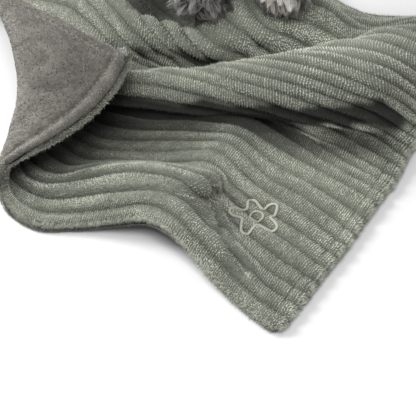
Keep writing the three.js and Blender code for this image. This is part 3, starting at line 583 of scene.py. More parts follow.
@group({"Place": "Vector", "Dark": "Color", "Light": "Color"}, {"Colour": "Color", "Height": "Float"})
def thread_twist(tree, inputs):
    """Fine plies that run round a thread."""
    place = stretched(tree, inputs["Place"], SIDE, SIDE)
    x, y = parts(tree, place)[:2]
    slant = maths(tree, "ADD", maths(tree, "MULTIPLY", x, 7.0), maths(tree, "MULTIPLY", y, 3.0))
    ply = maths(tree, "SINE", slant)
    fibre = spread(tree, noise(tree, place, 6.0, 2.0), -0.15, 0.3)
    tone = maths(tree, "ADD", ranged(tree, ply, -1.0, 1.0, 0.1, 0.7), fibre)
    return {"Colour": mixed(tree, tone, inputs["Dark"], inputs["Light"]), "Height": ply}


# Materials

@material
def plush_skin(tree):
    # The ground between the tufts is painted darker than the tufts, as shade deep in the pile.
    ground = {"Dark": srgb(62, 64, 57), "Light": srgb(98, 100, 91), "Deep": srgb(36, 38, 32)}
    out = use(tree, plush_rows, Place=uv_map(tree), Ribs=0.6, **ground)
    # The strand map brings in the shade and light painted on the cloth.
    colour = shaded(tree, out["Colour"], parts(tree, uv_map(tree, "strand"))[0])
    normal = bumped(tree, out["Height"], strength=0.55, distance=0.0006)
    return soft(colour, normal, rough=0.95, sheen=0.25, sheen_tint=srgb(210, 214, 204))


@material
def plush_tufts(tree):
    sage = {"Dark": srgb(110, 112, 101), "Light": srgb(168, 171, 159), "Deep": srgb(60, 62, 54)}
    out = use(tree, plush_rows, Place=uv_map(tree), Ribs=0.9, **sage)
    strand = use(tree, strand_shade, Strand=uv_map(tree, "strand"), Root=srgb(76, 76, 76),
                 Tip=srgb(255, 255, 255), Reach=0.55, Facing=1.0)
    colour = mixed(tree, 1.0, out["Colour"], strand["Colour"], "MULTIPLY")
    lifted = mixed(tree, 1.0, colour, (1.42, 1.42, 1.42, 1.0), "MULTIPLY")
    return soft(lifted, strand["Normal"], rough=0.9, sheen=0.15)


def brushed_patches(tree, place):
    return noise(tree, place, 0.07, 0.045, detail=3.0, rough=0.6, distortion=1.2)


@material
def velour(tree):
    place = on_map(tree)
    fibres = noise(tree, place, 2.2, 1.6, detail=3.0, rough=0.65)
    smudges = noise(tree, place, 0.22, 0.3, detail=3.0, rough=0.6, distortion=1.5)
    tone = spread(tree, brushed_patches(tree, place), 0.2, 0.8)
    for pattern, reach in ((smudges, 0.16), (fibres, 0.2)):
        tone = maths(tree, "ADD", tone, spread(tree, pattern, -reach, reach))
    colour = mixed(tree, tone, srgb(46, 44, 42), srgb(90, 88, 83))
    # The strand map brings in the light painted on the backing.
    colour = shaded(tree, colour, parts(tree, uv_map(tree, "strand"))[0])
    normal = bumped(tree, fibres, strength=0.4, distance=0.0005)
    return soft(colour, normal, rough=0.92, sheen=0.3, sheen_rough=0.45, sheen_tint=srgb(214, 208, 204))


@material
def velour_nap(tree):
    out = use(tree, strand_shade, Strand=uv_map(tree, "strand"), Root=srgb(44, 43, 40),
              Tip=srgb(108, 106, 100), Reach=1.0, Facing=0.6)
    patch = spread(tree, brushed_patches(tree, on_map(tree)), 0.76, 1.2)
    return soft(shaded(tree, out["Colour"], patch), out["Normal"], rough=0.9, sheen=0.15)


@material
def fur_skin(tree):
    weave = noise(tree, on_map(tree), 0.8, 0.8, detail=3.0, rough=0.6)
    colour = mixed(tree, weave, srgb(58, 55, 52), srgb(92, 88, 84))
    return soft(colour, bumped(tree, weave, strength=0.4, distance=0.001), rough=0.95, gloss=0.05)


@material
def fur(tree):
    out = use(tree, strand_shade, Strand=uv_map(tree, "strand"), Root=srgb(46, 44, 42),
              Tip=srgb(186, 183, 177), Reach=1.2, Facing=0.45)
    drift = spread(tree, noise(tree, on_map(tree), 0.09, 0.09), 0.85, 1.12)
    return soft(shaded(tree, out["Colour"], drift), out["Normal"], rough=0.6, gloss=0.25, sheen=0.1)


def thread(name, dark, light, rough, gloss=0.35):
    def build(tree):
        out = use(tree, thread_twist, Place=uv_map(tree), Dark=dark, Light=light)
        normal = bumped(tree, out["Height"], strength=0.5, distance=0.0002)
        return soft(out["Colour"], normal, rough, gloss, sheen=0.1 * gloss)
    return material(build, name)


hem_thread = thread("hem_thread", srgb(74, 78, 69), srgb(126, 131, 119), rough=0.8)
blossom_thread = thread("blossom_thread", srgb(112, 113, 100), srgb(156, 157, 144), rough=0.55)
dark_thread = thread("dark_thread", srgb(9, 8, 8), srgb(28, 25, 24), rough=0.5, gloss=0.2)


# The cloth

def smoothed(grid, times):
    for _ in range(times):
        grid[1:-1] = grid[1:-1] / 2 + (grid[:-2] + grid[2:]) / 4
        grid[:, 1:-1] = grid[:, 1:-1] / 2 + (grid[:, :-2] + grid[:, 2:]) / 4
    return grid


def cloth_middle():
    """The middle of the cloth on a fine grid, rows from the front edge and columns from the left."""
    s = np.linspace(0, 1, COLUMNS + 1)
    t = np.linspace(0, SIDE, ROWS + 1)
    lines = np.array([by_length(np.array(row[1:], float).reshape(-1, 3), s) for row in RIB_LINES])
    place = np.interp(t, [row[0] for row in RIB_LINES], np.arange(len(RIB_LINES))) / (len(RIB_LINES) - 1)
    return smoothed(spline(lines, place), times=6) + SHIFT


def on_grid(grid, s, t):
    """A grid's values at places on the cloth."""
    if grid.ndim == 2:
        return on_grid(grid[..., None], s, t)[:, 0]
    x, y = (np.clip(at / SIDE * n, 0, n - 1e-6) for at, n in ((s, COLUMNS), (t, ROWS)))
    i, j = x.astype(int), y.astype(int)
    u, v = (x - i)[:, None], (y - j)[:, None]
    near = grid[j, i] * (1 - u) + grid[j, i + 1] * u
    return near * (1 - v) + (grid[j + 1, i] * (1 - u) + grid[j + 1, i + 1] * u) * v


def rounded(grid):
    """The grid with its corners drawn in to quarter circles."""
    a, b = CORNER - np.minimum(S, SIDE - S), CORNER - np.minimum(T, SIDE - T)
    near = (a > 0) & (b > 0)
    pull = np.maximum(a, b) / np.maximum(np.hypot(a, b), 1e-6)
    arc = lambda x, gap: np.where(x < SIDE / 2, CORNER - gap * pull, SIDE - CORNER + gap * pull)
    s, t = np.where(near, arc(S, a), S), np.where(near, arc(T, b), T)
    return on_grid(grid, s.ravel(), t.ravel()).reshape(grid.shape)


def smooth_normals(grid):
    return unit(smoothed(grid_normals(grid), times=4))


def deep_hollow(s, t):
    """Where shade is painted on the cloth behind the left roll, under the rabbit's left ear."""
    return hill(s, 114, 22, 4) * hill(t, 211, 11, 4)


def behind_roll(s, t):
    """The steep back of the left roll, beside the rabbit, between two slanting lines, where the cloth is
    lowered and painted darker as shade.
    """
    slope = 0.75
    long = math.hypot(1, slope)
    beyond = (t - 185 - slope * (s - 140)) / long
    beside = (s - 150 + slope * (t - 195)) / long
    return smoothstep(0, 4, beyond) * smoothstep(30, 20, beyond) * hill(beside, 0, 25, 4)


def pinch(s, t):
    """How far the sharp crease beside the front hump lies below the cloth round it, with its small pit."""
    near = np.full(s.shape, 1e9)
    for (a, b), (c, d) in zip(CREASE[:-1], CREASE[1:]):
        share = np.clip(((s - a) * (c - a) + (t - b) * (d - b)) / ((c - a) ** 2 + (d - b) ** 2), 0, 1)
        near = np.minimum(near, np.hypot(s - a - share * (c - a), t - b - share * (d - b)))
    crease = CREASE_DEPTH * hill(near, 0, 2) - CREASE_LIP * hill(near, 4.6, 2.2)
    pit = PIT_DEPTH * hill(np.hypot(s - CREASE[0][0], t - CREASE[0][1]), 0, 3)
    return crease + pit + ROLL_DROP * behind_roll(s, t)


S, T = np.meshgrid(np.linspace(0, SIDE, COLUMNS + 1), np.linspace(0, SIDE, ROWS + 1))
MIDDLE = rounded(cloth_middle())
MIDDLE -= smooth_normals(MIDDLE) * pinch(S, T)[..., None]
OUT = smooth_normals(MIDDLE)
ALONG = unit(np.gradient(MIDDLE, axis=1))
ACROSS = unit(np.gradient(MIDDLE, axis=0))


def openness(every):
    """How much of the light from above, but not from the front, reaches each place past the folds, 0 to 1."""
    j, i = np.arange(0, ROWS + 1, every), np.arange(0, COLUMNS + 1, every)
    coarse = MIDDLE[np.ix_(j, i)]
    tree = BVHTree.FromPolygons(coarse.reshape(-1, 3).tolist(), grid_quads(len(j), len(i)).tolist())
    rays = ball_points(160, 3)
    rays = rays[(rays[:, 2] > 0.3) & (rays[:, 1] > -0.15)]
    seen = np.zeros(coarse.shape[:2])
    for place in np.ndindex(seen.shape):
        out = OUT[j[place[0]], i[place[1]]]
        start = Vector(coarse[place] + out * 3.5)
        facing = rays[rays @ out > 0.05]
        clear = [tree.ray_cast(start, Vector(ray), 120.0)[0] is None for ray in facing]
        seen[place] = sum(clear) / len(facing) if len(facing) else 0.0
    across = np.array([np.interp(np.arange(COLUMNS + 1), i, line) for line in seen])
    return np.array([np.interp(np.arange(ROWS + 1), j, line) for line in across.T]).T


def edge_distance(s, t):
    return np.minimum(np.minimum(s, SIDE - s), np.minimum(t, SIDE - t))


def at_ends(s, t):
    """Whether the left or right edge is nearer than the front or back edge."""
    return np.minimum(s, SIDE - s) < np.minimum(t, SIDE - t)


def outwards(s, t, along, across):
    """The way out of the cloth over its nearest edge."""
    sign = lambda x: np.sign(x - SIDE / 2)[..., None]
    return np.where(at_ends(s, t)[..., None], along * sign(s), across * sign(t))


def rib_phase(s, t):
    """0 in one groove to 1 in the next; the ribs wander a little."""
    return ((t + 0.45 * field(s, t, 34, 21, 1)) / PITCH) % 1.0


def front_hollow(s, t):
    """The hollow behind the front edge, where the ribs lie flat and their grooves lie open."""
    return hill(s, 158, 60, 4) * hill(t, 61, 25, 4)


def turned_up(s):
    """Where the front edge is lifted, so that the backing shows under it."""
    return smoothstep(105, 130, s) * smoothstep(240, 215, s)


def brushed(s, t):
    """Painted light and shade on the pile: darker along the long fold, lighter on the strip behind it and on
    the right panel, and a little darker at the front right.
    """
    long_fold = hill(t, 157 + 0.61 * (s - 213), 16) * smoothstep(185, 215, s)
    behind = hill(s, 222, 45, 4) * hill(t, 226, 20, 4)
    right = (0.18 * hill(t, 100, 28, 4) - 0.08 * hill(t, 25, 30, 4)) * smoothstep(210, 230, s)
    return 1 - 0.16 * long_fold + 0.4 * behind + right


def brushed_back(s, t):
    """Painted light on the backing: lighter on the flap and most along its low end; and a little lighter in
    the hem.
    """
    side = 0.14 * smoothstep(28, 46, t) * smoothstep(110, 90, s)
    low_end = 0.42 * smoothstep(40, 72, s) * smoothstep(70, 40, t)
    return 0.88 + side + low_end + 0.1 * smoothstep(9, 5, edge_distance(s, t))


def edge_roll(s, t, radius):
    near = np.clip(edge_distance(s, t) / radius, 0, 1)
    return np.sqrt(1 - (1 - near) ** 2)


def ribbed_height(s, t):
    """The plush above the middle of the cloth: ribs, the stitched-down hem line and the rolled edge."""
    side = np.abs(2 * rib_phase(s, t) - 1)
    rib = (1 - side ** 2.3) ** 0.62
    rib += (0.62 - rib) * 0.6 * front_hollow(s, t)
    crushed = 1 + 0.1 * field(s, t, 17, 7, 2) + 0.06 * field(s, t, 5, 4, 3)
    height = VALLEY + (CREST - VALLEY) * rib * crushed
    ends = at_ends(s, t)
    dash = 0.6 + 0.4 * np.cos(TURN * np.where(ends, t, s) / 3.4)
    hem = np.where(ends, 0.6, 0.3) * dash * hill(edge_distance(s, t), HEM, 0.8)
    return height * (1 - hem) * edge_roll(s, t, radius=3.2)


def backing_height(s, t):
    """The velour below the middle of the cloth, fuller in the hem and where the front edge is lifted."""
    edge = edge_distance(s, t)
    hem = 0.65 * hill(edge, HEM, 1)
    band = 0.75 * hill(edge, 3.4, 2.2)
    soft_bulges = 1 + 0.12 * field(s, t, 13, 11, 4)
    turned = 0.9 * hill(t, 0, 4) * turned_up(s)
    return BACKING * (soft_bulges + band + turned) * (1 - hem) * edge_roll(s, t, radius=1.4)


def offset(grid, way, size):
    return grid + way * size[..., None]


AWAY = outwards(S, T, ALONG, ACROSS)
RIM = hill(edge_distance(S, T), 0, 1.8)
FLAP_EDGE = hill(T, 0, 8) * smoothstep(115, 90, S)
FRONT_LIP = hill(T, 0, 8) * turned_up(S)
# Painted shade: the cloth is darkened where its folds keep light off, more on the back of the left roll and
# most in the hollow under the rabbit's left ear, but not on the flap's rim.
SHADE = 0.11 + 0.89 * smoothstep(0.08, 0.72, openness(every=5))
SHADE *= (1 - 0.5 * behind_roll(S, T)) * (1 - 0.85 * deep_hollow(S, T))
SHADE = np.maximum(SHADE, RIM * FLAP_EDGE)
FACE = offset(MIDDLE, OUT, 0.15 + ribbed_height(S, T))
FACE = offset(FACE, AWAY, RIM * (0.6 + 2.6 * FLAP_EDGE) * (1 - FRONT_LIP))
FACE = offset(FACE, OUT, -2.2 * RIM * FLAP_EDGE)
FACE[..., 2] = np.maximum(FACE[..., 2], 0.35)
BACK = offset(MIDDLE, OUT, -0.1 - backing_height(S, T))
BACK = offset(BACK, AWAY, 2.4 * hill(edge_distance(S, T), 0, 2.6) * FRONT_LIP)
BACK[..., 2] = np.maximum(BACK[..., 2], 0.0)
FACE_OUT = grid_normals(FACE)


def layer(name, grid, quads, finish, tones):
    place = np.stack([S, T], -1).reshape(-1, 2)
    maps = {"OFBake": place / SIDE, "strand": np.repeat(tones.reshape(-1, 1), 2, 1)}
    return make_mesh(name, grid.reshape(-1, 3), quads, finish, maps)


cloth_quads = grid_quads(ROWS + 1, COLUMNS + 1)
face = layer("ribbed_face", FACE, cloth_quads, plush_skin, SHADE * brushed(S, T))
backing = layer("velour_backing", BACK, cloth_quads[:, ::-1], velour, brushed_back(S, T))


def blossom_edge(angle):
    return BLOSSOM_RADIUS + BLOSSOM_WAVE * np.cos(PETALS * angle)


def thread_distance(s, t):
    """How far a place is from the embroidered lines."""
    x, y = s - BLOSSOM_AT[0], t - BLOSSOM_AT[1]
    radius = np.hypot(x, y)
    return np.minimum(np.abs(radius - blossom_edge(np.arctan2(y, x))), np.abs(radius - HEART_RADIUS))


# The cloth's pile

def cloth_pile(name, low, high, seed):
    """Tufts in rows across the ribs, from one distance from the left edge to another."""
    r = np.random.default_rng(seed)
    s, t = np.meshgrid(np.arange(low + 0.5, high, ROW_GAP), np.arange(0.3, SIDE - 0.3, TUFT_GAP))
    s, t = s.ravel(), t.ravel()
    row = np.round(s / ROW_GAP).astype(int)
    n = len(s)
    s = np.clip(s + 0.5 * field(s, t, 11, 8, 5) + r.normal(0, 0.1, n), 0.2, SIDE - 0.2)
    t = np.clip(t + r.uniform(-0.35, 0.35, n), 0.2, SIDE - 0.2)
    along, across = on_grid(ALONG, s, t), on_grid(ACROSS, s, t)
    out = unit(on_grid(FACE_OUT, s, t))
    lean = field(s, t, 23, 15, 6)[:, None]
    fan = 2 * rib_phase(s, t) - 1
    # Near the sewn edge the pile stands outwards.
    brim = 1 - np.clip(edge_distance(s, t) / 3.5, 0, 1)
    away = outwards(s, t, along, across)
    laid = smoothstep(0.15, 0.6, field(s, t, 27, 16, 12))[:, None]
    curl = brim[:, None] * on_grid(FLAP_EDGE, s, t)[:, None]
    to_side = along * (0.45 * laid) + along * (0.4 * lean + r.normal(0, 0.16, (n, 1)))
    to_groove = across * (0.4 * fan[:, None] + r.normal(0, 0.3, (n, 1)))
    directions = unit(out * (1 - 0.35 * laid - 1.6 * curl) + to_side + to_groove + away * brim[:, None] * 1.1)
    pressed = 1 - 0.75 * hill(thread_distance(s, t), 0, 1.6)
    # In the front hollow the grooves show as pale lines, and the hollow's pile is painted darker as shade.
    flat = front_hollow(s, t)
    tones = (1 - 0.2 * flat + 1.9 * flat * np.abs(fan) ** 8) * brushed(s, t) * on_grid(SHADE, s, t)
    hem = 1 - 0.5 * hill(edge_distance(s, t), HEM, 0.9)
    crushed = 1 - 0.3 * smoothstep(0.1, 0.8, field(s, t, 31, 19, 9))
    lengths = TUFT_LENGTH * r.uniform(0.7, 1.2, n) * pressed * hem * crushed
    lengths *= (1 + 0.4 * brim) * (1 - 0.3 * flat) * (1 - 0.35 * np.abs(fan) ** 4)
    own = np.random.default_rng(7).uniform(-1, 1, 400)[row % 400]
    tones *= 1 + 0.07 * own + 0.1 * r.standard_normal(n)
    halves = along * r.uniform(0.28, 0.4, (n, 1)), across * r.uniform(0.55, 0.85, (n, 1))
    normals = unit(out * (1 - 1.7 * curl) + away * curl + 0.25 * directions)
    return cones(name, on_grid(FACE, s, t) - out * 0.3, directions, halves, normals, lengths,
                 np.stack([s, t], 1), tones, plush_tufts, spin_seed=12)


def edge_fuzz(name, count, grid, sign, finish, seed):
    """Loose fibres that stand out round the sewn edge, of the face with sign 1 and of the backing with -1."""
    r = np.random.default_rng(seed)
    run, inside = r.uniform(0, SIDE, count), np.abs(r.normal(0, 1.3, count))
    edge = r.integers(0, 4, count)
    s = np.select([edge == 0, edge == 1], [inside, SIDE - inside], run)
    t = np.select([edge == 2, edge == 3], [inside, SIDE - inside], run)
    along, across = on_grid(ALONG, s, t), on_grid(ACROSS, s, t)
    away = np.select([(edge == k)[:, None] for k in range(4)], [-along, along, -across, across])
    out = on_grid(OUT, s, t) * sign
    lip = on_grid(FLAP_EDGE if sign > 0 else FRONT_LIP, s, t)[:, None]
    directions = away + out * (r.uniform(-0.1, 1.0, (count, 1)) - 1.1 * lip) + r.normal(0, 0.35, (count, 3))
    turned_by = out + r.normal(0, 0.3, (count, 3))
    lengths = r.uniform(1.2, 2.8, count) * (1 if sign > 0 else np.where((t < 8) & (s < 100), 0.35, 0.6))
    # At the flap's edge the fuzz is painted lighter, as if lit.
    tones = r.uniform(0.9, 1.18, count) * (1 + 0.15 * lip[:, 0])
    normals = unit(out * (1 - 1.7 * lip) + away * (0.5 + 0.5 * lip))
    return blades(name, on_grid(grid, s, t) - out * 0.15, unit(directions), turned_by, normals, lengths,
                  r.uniform(0.2, 0.42, count), np.stack([s, t], 1), tones, finish)


def backing_nap(name, low, high, seed):
    """Fine short nap where the backing shows, from one distance from the left edge to another."""
    r = np.random.default_rng(seed)
    count = int(NAP_DENSITY * (high - low) * SIDE)
    s, t = r.uniform(low, high, count), r.uniform(0.3, SIDE - 0.3, count)
    s = np.clip(s, 0.3, SIDE - 0.3)
    lifted = on_grid(BACK, s, t)[:, 2] > 3.0
    s, t = s[lifted], t[lifted]
    n = len(s)
    out = -unit(on_grid(OUT, s, t))
    along, across = on_grid(ALONG, s, t), on_grid(ACROSS, s, t)
    lean = 0.5 * field(s, t, 19, 19, 8)[:, None] + r.normal(0, 0.35, (n, 1))
    directions = unit(out + along * lean + across * r.normal(0.2, 0.35, (n, 1)))
    half = r.uniform(0.3, 0.6, (n, 1))
    lip = on_grid(FRONT_LIP, s, t)[:, None]
    tones = r.uniform(0.3, 1.7, n) * (brushed_back(s, t) + 0.15 * smoothstep(8, 5.5, edge_distance(s, t)))
    normals = unit(out * (1 - 0.8 * lip) - across * lip + 0.3 * directions)
    return cones(name, on_grid(BACK, s, t) - out * 0.2, directions, (along * half, across * half), normals,
                 r.uniform(0.55, 1.05, n), np.stack([s, t], 1), tones, velour_nap, spin_seed=13)


def in_thirds(build, name, seed):
    """The same pile on three thirds of the cloth, each a piece of its own."""
    return [build(f"{name}_{k + 1}", SIDE * k / 3, SIDE * (k + 1) / 3, seed + k) for k in range(3)]


pile = in_thirds(cloth_pile, "plush_pile", seed=20)
face_fuzz = edge_fuzz("face_edge_fuzz", FACE_FIBRES, FACE, sign=1, finish=plush_tufts, seed=31)
back_fuzz = edge_fuzz("backing_edge_fuzz", BACKING_FIBRES, BACK, sign=-1, finish=velour_nap, seed=32)
nap = in_thirds(backing_nap, "backing_nap", seed=33)


# Threads on the cloth

def stitches(name, grid, sign, lift):
    """Single stitches along the hem on all four sides, on the face with sign 1 and on the backing with -1."""
    points, faces, uv = [], [], []
    steps, around = 7, 6
    share = np.linspace(-1, 1, steps)
    angle = circle(around)
    thick = 0.34 * np.sqrt(1.02 - share ** 2)[:, None, None]
    for k in range(4 * STITCHES):
        side, place = divmod(k, STITCHES)
        run = HEM + 1.5 + (SIDE - 2 * HEM - 3) * (place + 0.5) / STITCHES
        line = np.clip(run + STITCH_HALF * share, 0, SIDE)
        fixed = np.full(steps, HEM if side % 2 == 0 else SIDE - HEM)
        s, t = (line, fixed) if side < 2 else (fixed, line)
        out = unit(on_grid(OUT, s, t)) * sign
        path = on_grid(grid, s, t) + out * (lift * np.cos(share * 1.5) - 0.25)[:, None]
        across = unit(np.cross(out, unit(np.gradient(path, axis=0))))
        ring = across[:, None] * np.cos(angle)[:, None] + out[:, None] * np.sin(angle)[:, None]
        faces.append(grid_quads(steps, around, True) + k * steps * around)
        points.append((path[:, None] + thick * ring).reshape(-1, 3))
        uv.append(flat_map(angle / 60, (s + t) / SIDE)[:, ::-1])
    return make_mesh(name, np.concatenate(points), np.concatenate(faces), hem_thread,
                     {"OFBake": np.concatenate(uv)})


def embroidered(name, radius_at, steps, width):
    """A thread in a closed line round the blossom's middle."""
    angle = circle(steps)
    radius = radius_at(angle)
    s, t = BLOSSOM_AT[0] + radius * np.cos(angle), BLOSSOM_AT[1] + radius * np.sin(angle)
    out = unit(on_grid(OUT, s, t))
    path = on_grid(FACE, s, t) + out * 0.55
    for _ in range(4):
        path = path / 2 + (np.roll(path, 1, 0) + np.roll(path, -1, 0)) / 4
    return tube(name, path, out, width, height=0.9, finish=blossom_thread, closed=True, around=10)


hem_over = stitches("hem_stitches", FACE, sign=1, lift=0.3)
hem_under = stitches("hem_stitches_under", BACK, sign=-1, lift=0.15)
blossom = embroidered("blossom_line", blossom_edge, steps=180, width=1.5)
heart_edge = lambda angle: np.full(len(angle), HEART_RADIUS)
heart = embroidered("blossom_ring", heart_edge, steps=60, width=1.1)


# The rabbit's head

def on_ball(turn, rise):
    return np.stack([np.cos(rise) * np.sin(turn), -np.cos(rise) * np.cos(turn), np.sin(rise)], -1)


def on_head(turn, rise, inset=0.0):
    """Places on the head and the way out of it there."""
    v = on_ball(turn, rise)
    return HEAD + v * (HEAD_HALF - inset), unit(v / HEAD_HALF)


def head_ball():
    """The skin of the head, open where the neck goes in."""
    turn, rise = circle(72), np.linspace(-math.pi / 2 + 0.26, math.pi / 2, 48)
    a, r = np.meshgrid(turn, rise)
    points = HEAD + on_ball(a, r).reshape(-1, 3) * (HEAD_HALF - SKIN_INSET)
    return make_mesh("head_skin", points, grid_quads(48, 72, True), fur_skin,
                     {"OFBake": flat_map(turn / TURN, rise / math.pi + 0.5)})


def dome(name, turn, rise, half_width, half_height, bulge, base, finish, ridge=0.0, rings=10, around=40):
    """A padded oval sewn on the head, with satin ridges across it if ridge is set."""
    share, angle = np.meshgrid(np.linspace(0, 1, rings), circle(around), indexing="ij")
    across, up = share * half_width * np.cos(angle), share * half_height * np.sin(angle)
    point, out = on_head(turn + across / HEAD_HALF[0], rise + up / HEAD_HALF[2])
    lift = base + bulge * np.sqrt(np.maximum(1 - share ** 2.4, 0))
    lift += ridge * np.cos(TURN * up / 0.55) * (1 - share ** 4)
    uv = np.stack([across.ravel(), up.ravel()], 1) / SIDE + 0.5
    points = (point + out * lift[..., None]).reshape(-1, 3)
    return make_mesh(name, points, grid_quads(rings, around, True), finish, {"OFBake": uv})


def head_fur():
    v = ball_points(HEAD_HAIRS, 41)
    turn, rise = np.arctan2(v[:, 0], -v[:, 1]), np.arcsin(v[:, 2])

    def distance(at, height, wide=1.0, high=1.0):
        return np.hypot((turn - at) * HEAD_HALF[0] / wide, (rise - height) * HEAD_HALF[2] / high)

    # No fur grows under the muzzle and the eyes.
    keep = (rise > -math.pi / 2 + 0.3) & (distance(0, MUZZLE_RISE, 16, 11) > 1)
    for eye in EYE_TURN.values():
        keep &= distance(eye, EYE_RISE, 3.4, 4.1) > 1
    v, turn, rise = v[keep], turn[keep], rise[keep]
    out = unit(v / HEAD_HALF)
    front = smoothstep(0.1, 0.85, -v[:, 1])
    # From the middle of the face the fur runs outwards and down, on the back it runs down.
    middle, low = unit(np.array([0.0, -1.0, -0.1])), np.array([0.0, 0.0, -1.0])
    away = v - middle * (v @ middle)[:, None]
    down = low - v * (v @ low)[:, None]
    flow = within(unit(unit(away) * (0.3 + 0.9 * front)[:, None] + down * 0.7), out)
    near_eye = np.min([distance(eye, EYE_RISE) for eye in EYE_TURN.values()], 0)
    lengths = (8.0 - 4.4 * front) * (0.35 + 0.65 * smoothstep(3.5, 9.0, near_eye))
    patch = np.stack([turn / TURN + 0.5, rise / math.pi + 0.5], 1)
    roots = HEAD + v * (HEAD_HALF - SKIN_INSET)
    return strands("head_fur", roots, out, flow, lengths, width=0.42, patch=patch, seed=42)


def muzzle_fur():
    """Short fur on the muzzle, with none under the nose."""
    r = np.random.default_rng(43)
    n = MUZZLE_HAIRS
    share, angle = np.sqrt(r.uniform(0, 1, n)), r.uniform(0, TURN, n)
    across, up = share * MUZZLE_HALF[0] * np.cos(angle), share * MUZZLE_HALF[1] * np.sin(angle)
    point, out = on_head(across / HEAD_HALF[0], MUZZLE_RISE + up / HEAD_HALF[2])
    lift = MUZZLE_BASE + MUZZLE_BULGE * np.sqrt(np.maximum(1 - share ** 2.4, 0))
    side = np.stack([np.cos(angle), np.zeros(n), np.sin(angle)], 1)
    out = unit(out + side * (share ** 2 * 0.9)[:, None])
    flow = within(unit(side + [0, 0, -0.5]), out)
    keep = np.hypot(across / 5.6, (up - 5.3) / 4.2) > 1
    patch = np.stack([across, up], 1)[keep] / SIDE + 0.5
    roots = point + unit(point - HEAD) * lift[:, None]
    return strands("muzzle_fur", roots[keep], out[keep], flow[keep], lengths=3.0, width=0.34,
                   patch=patch, seed=44, lift=0.6)


def mouth_line():
    smile = np.linspace(-1, 1, 25)
    across, up = smile * 6.8, -3.36 * np.cos(smile * math.pi / 2) - 1.44
    point, out = on_head(across / HEAD_HALF[0], MUZZLE_RISE + up / HEAD_HALF[2])
    lift = 5.3 - 4.2 * np.hypot(across / 17, up / 12) ** 2 + 1.2
    return tube("mouth_line", point + out * lift[:, None], out, width=0.9, height=0.8, finish=dark_thread)


def back_seam():
    steps = 60
    point, out = on_head(np.full(steps, math.pi), np.linspace(0.35 * math.pi, -0.5 * 1.33, steps), 0.6)
    return tube("back_seam", point, out, width=0.9, height=0.8, finish=hem_thread)


head_skin = head_ball()
head_hair = head_fur()
muzzle = dome("muzzle_skin", 0.0, MUZZLE_RISE, *MUZZLE_HALF, MUZZLE_BULGE, MUZZLE_BASE, fur_skin)
muzzle_hair = muzzle_fur()
nose_rise = MUZZLE_RISE + NOSE_UP / HEAD_HALF[2]
nose = dome("nose_satin", 0.0, nose_rise, *NOSE_HALF, bulge=2.6, base=5.4, finish=dark_thread, ridge=0.07)
eyes = {word: dome(f"{word}_eye_satin", turn, EYE_RISE, *EYE_HALF, bulge=1.7, base=0.2,
                   finish=dark_thread, ridge=0.06) for word, turn in EYE_TURN.items()}
mouth = mouth_line()
seam = back_seam()


# The rabbit's ears, arms and neck

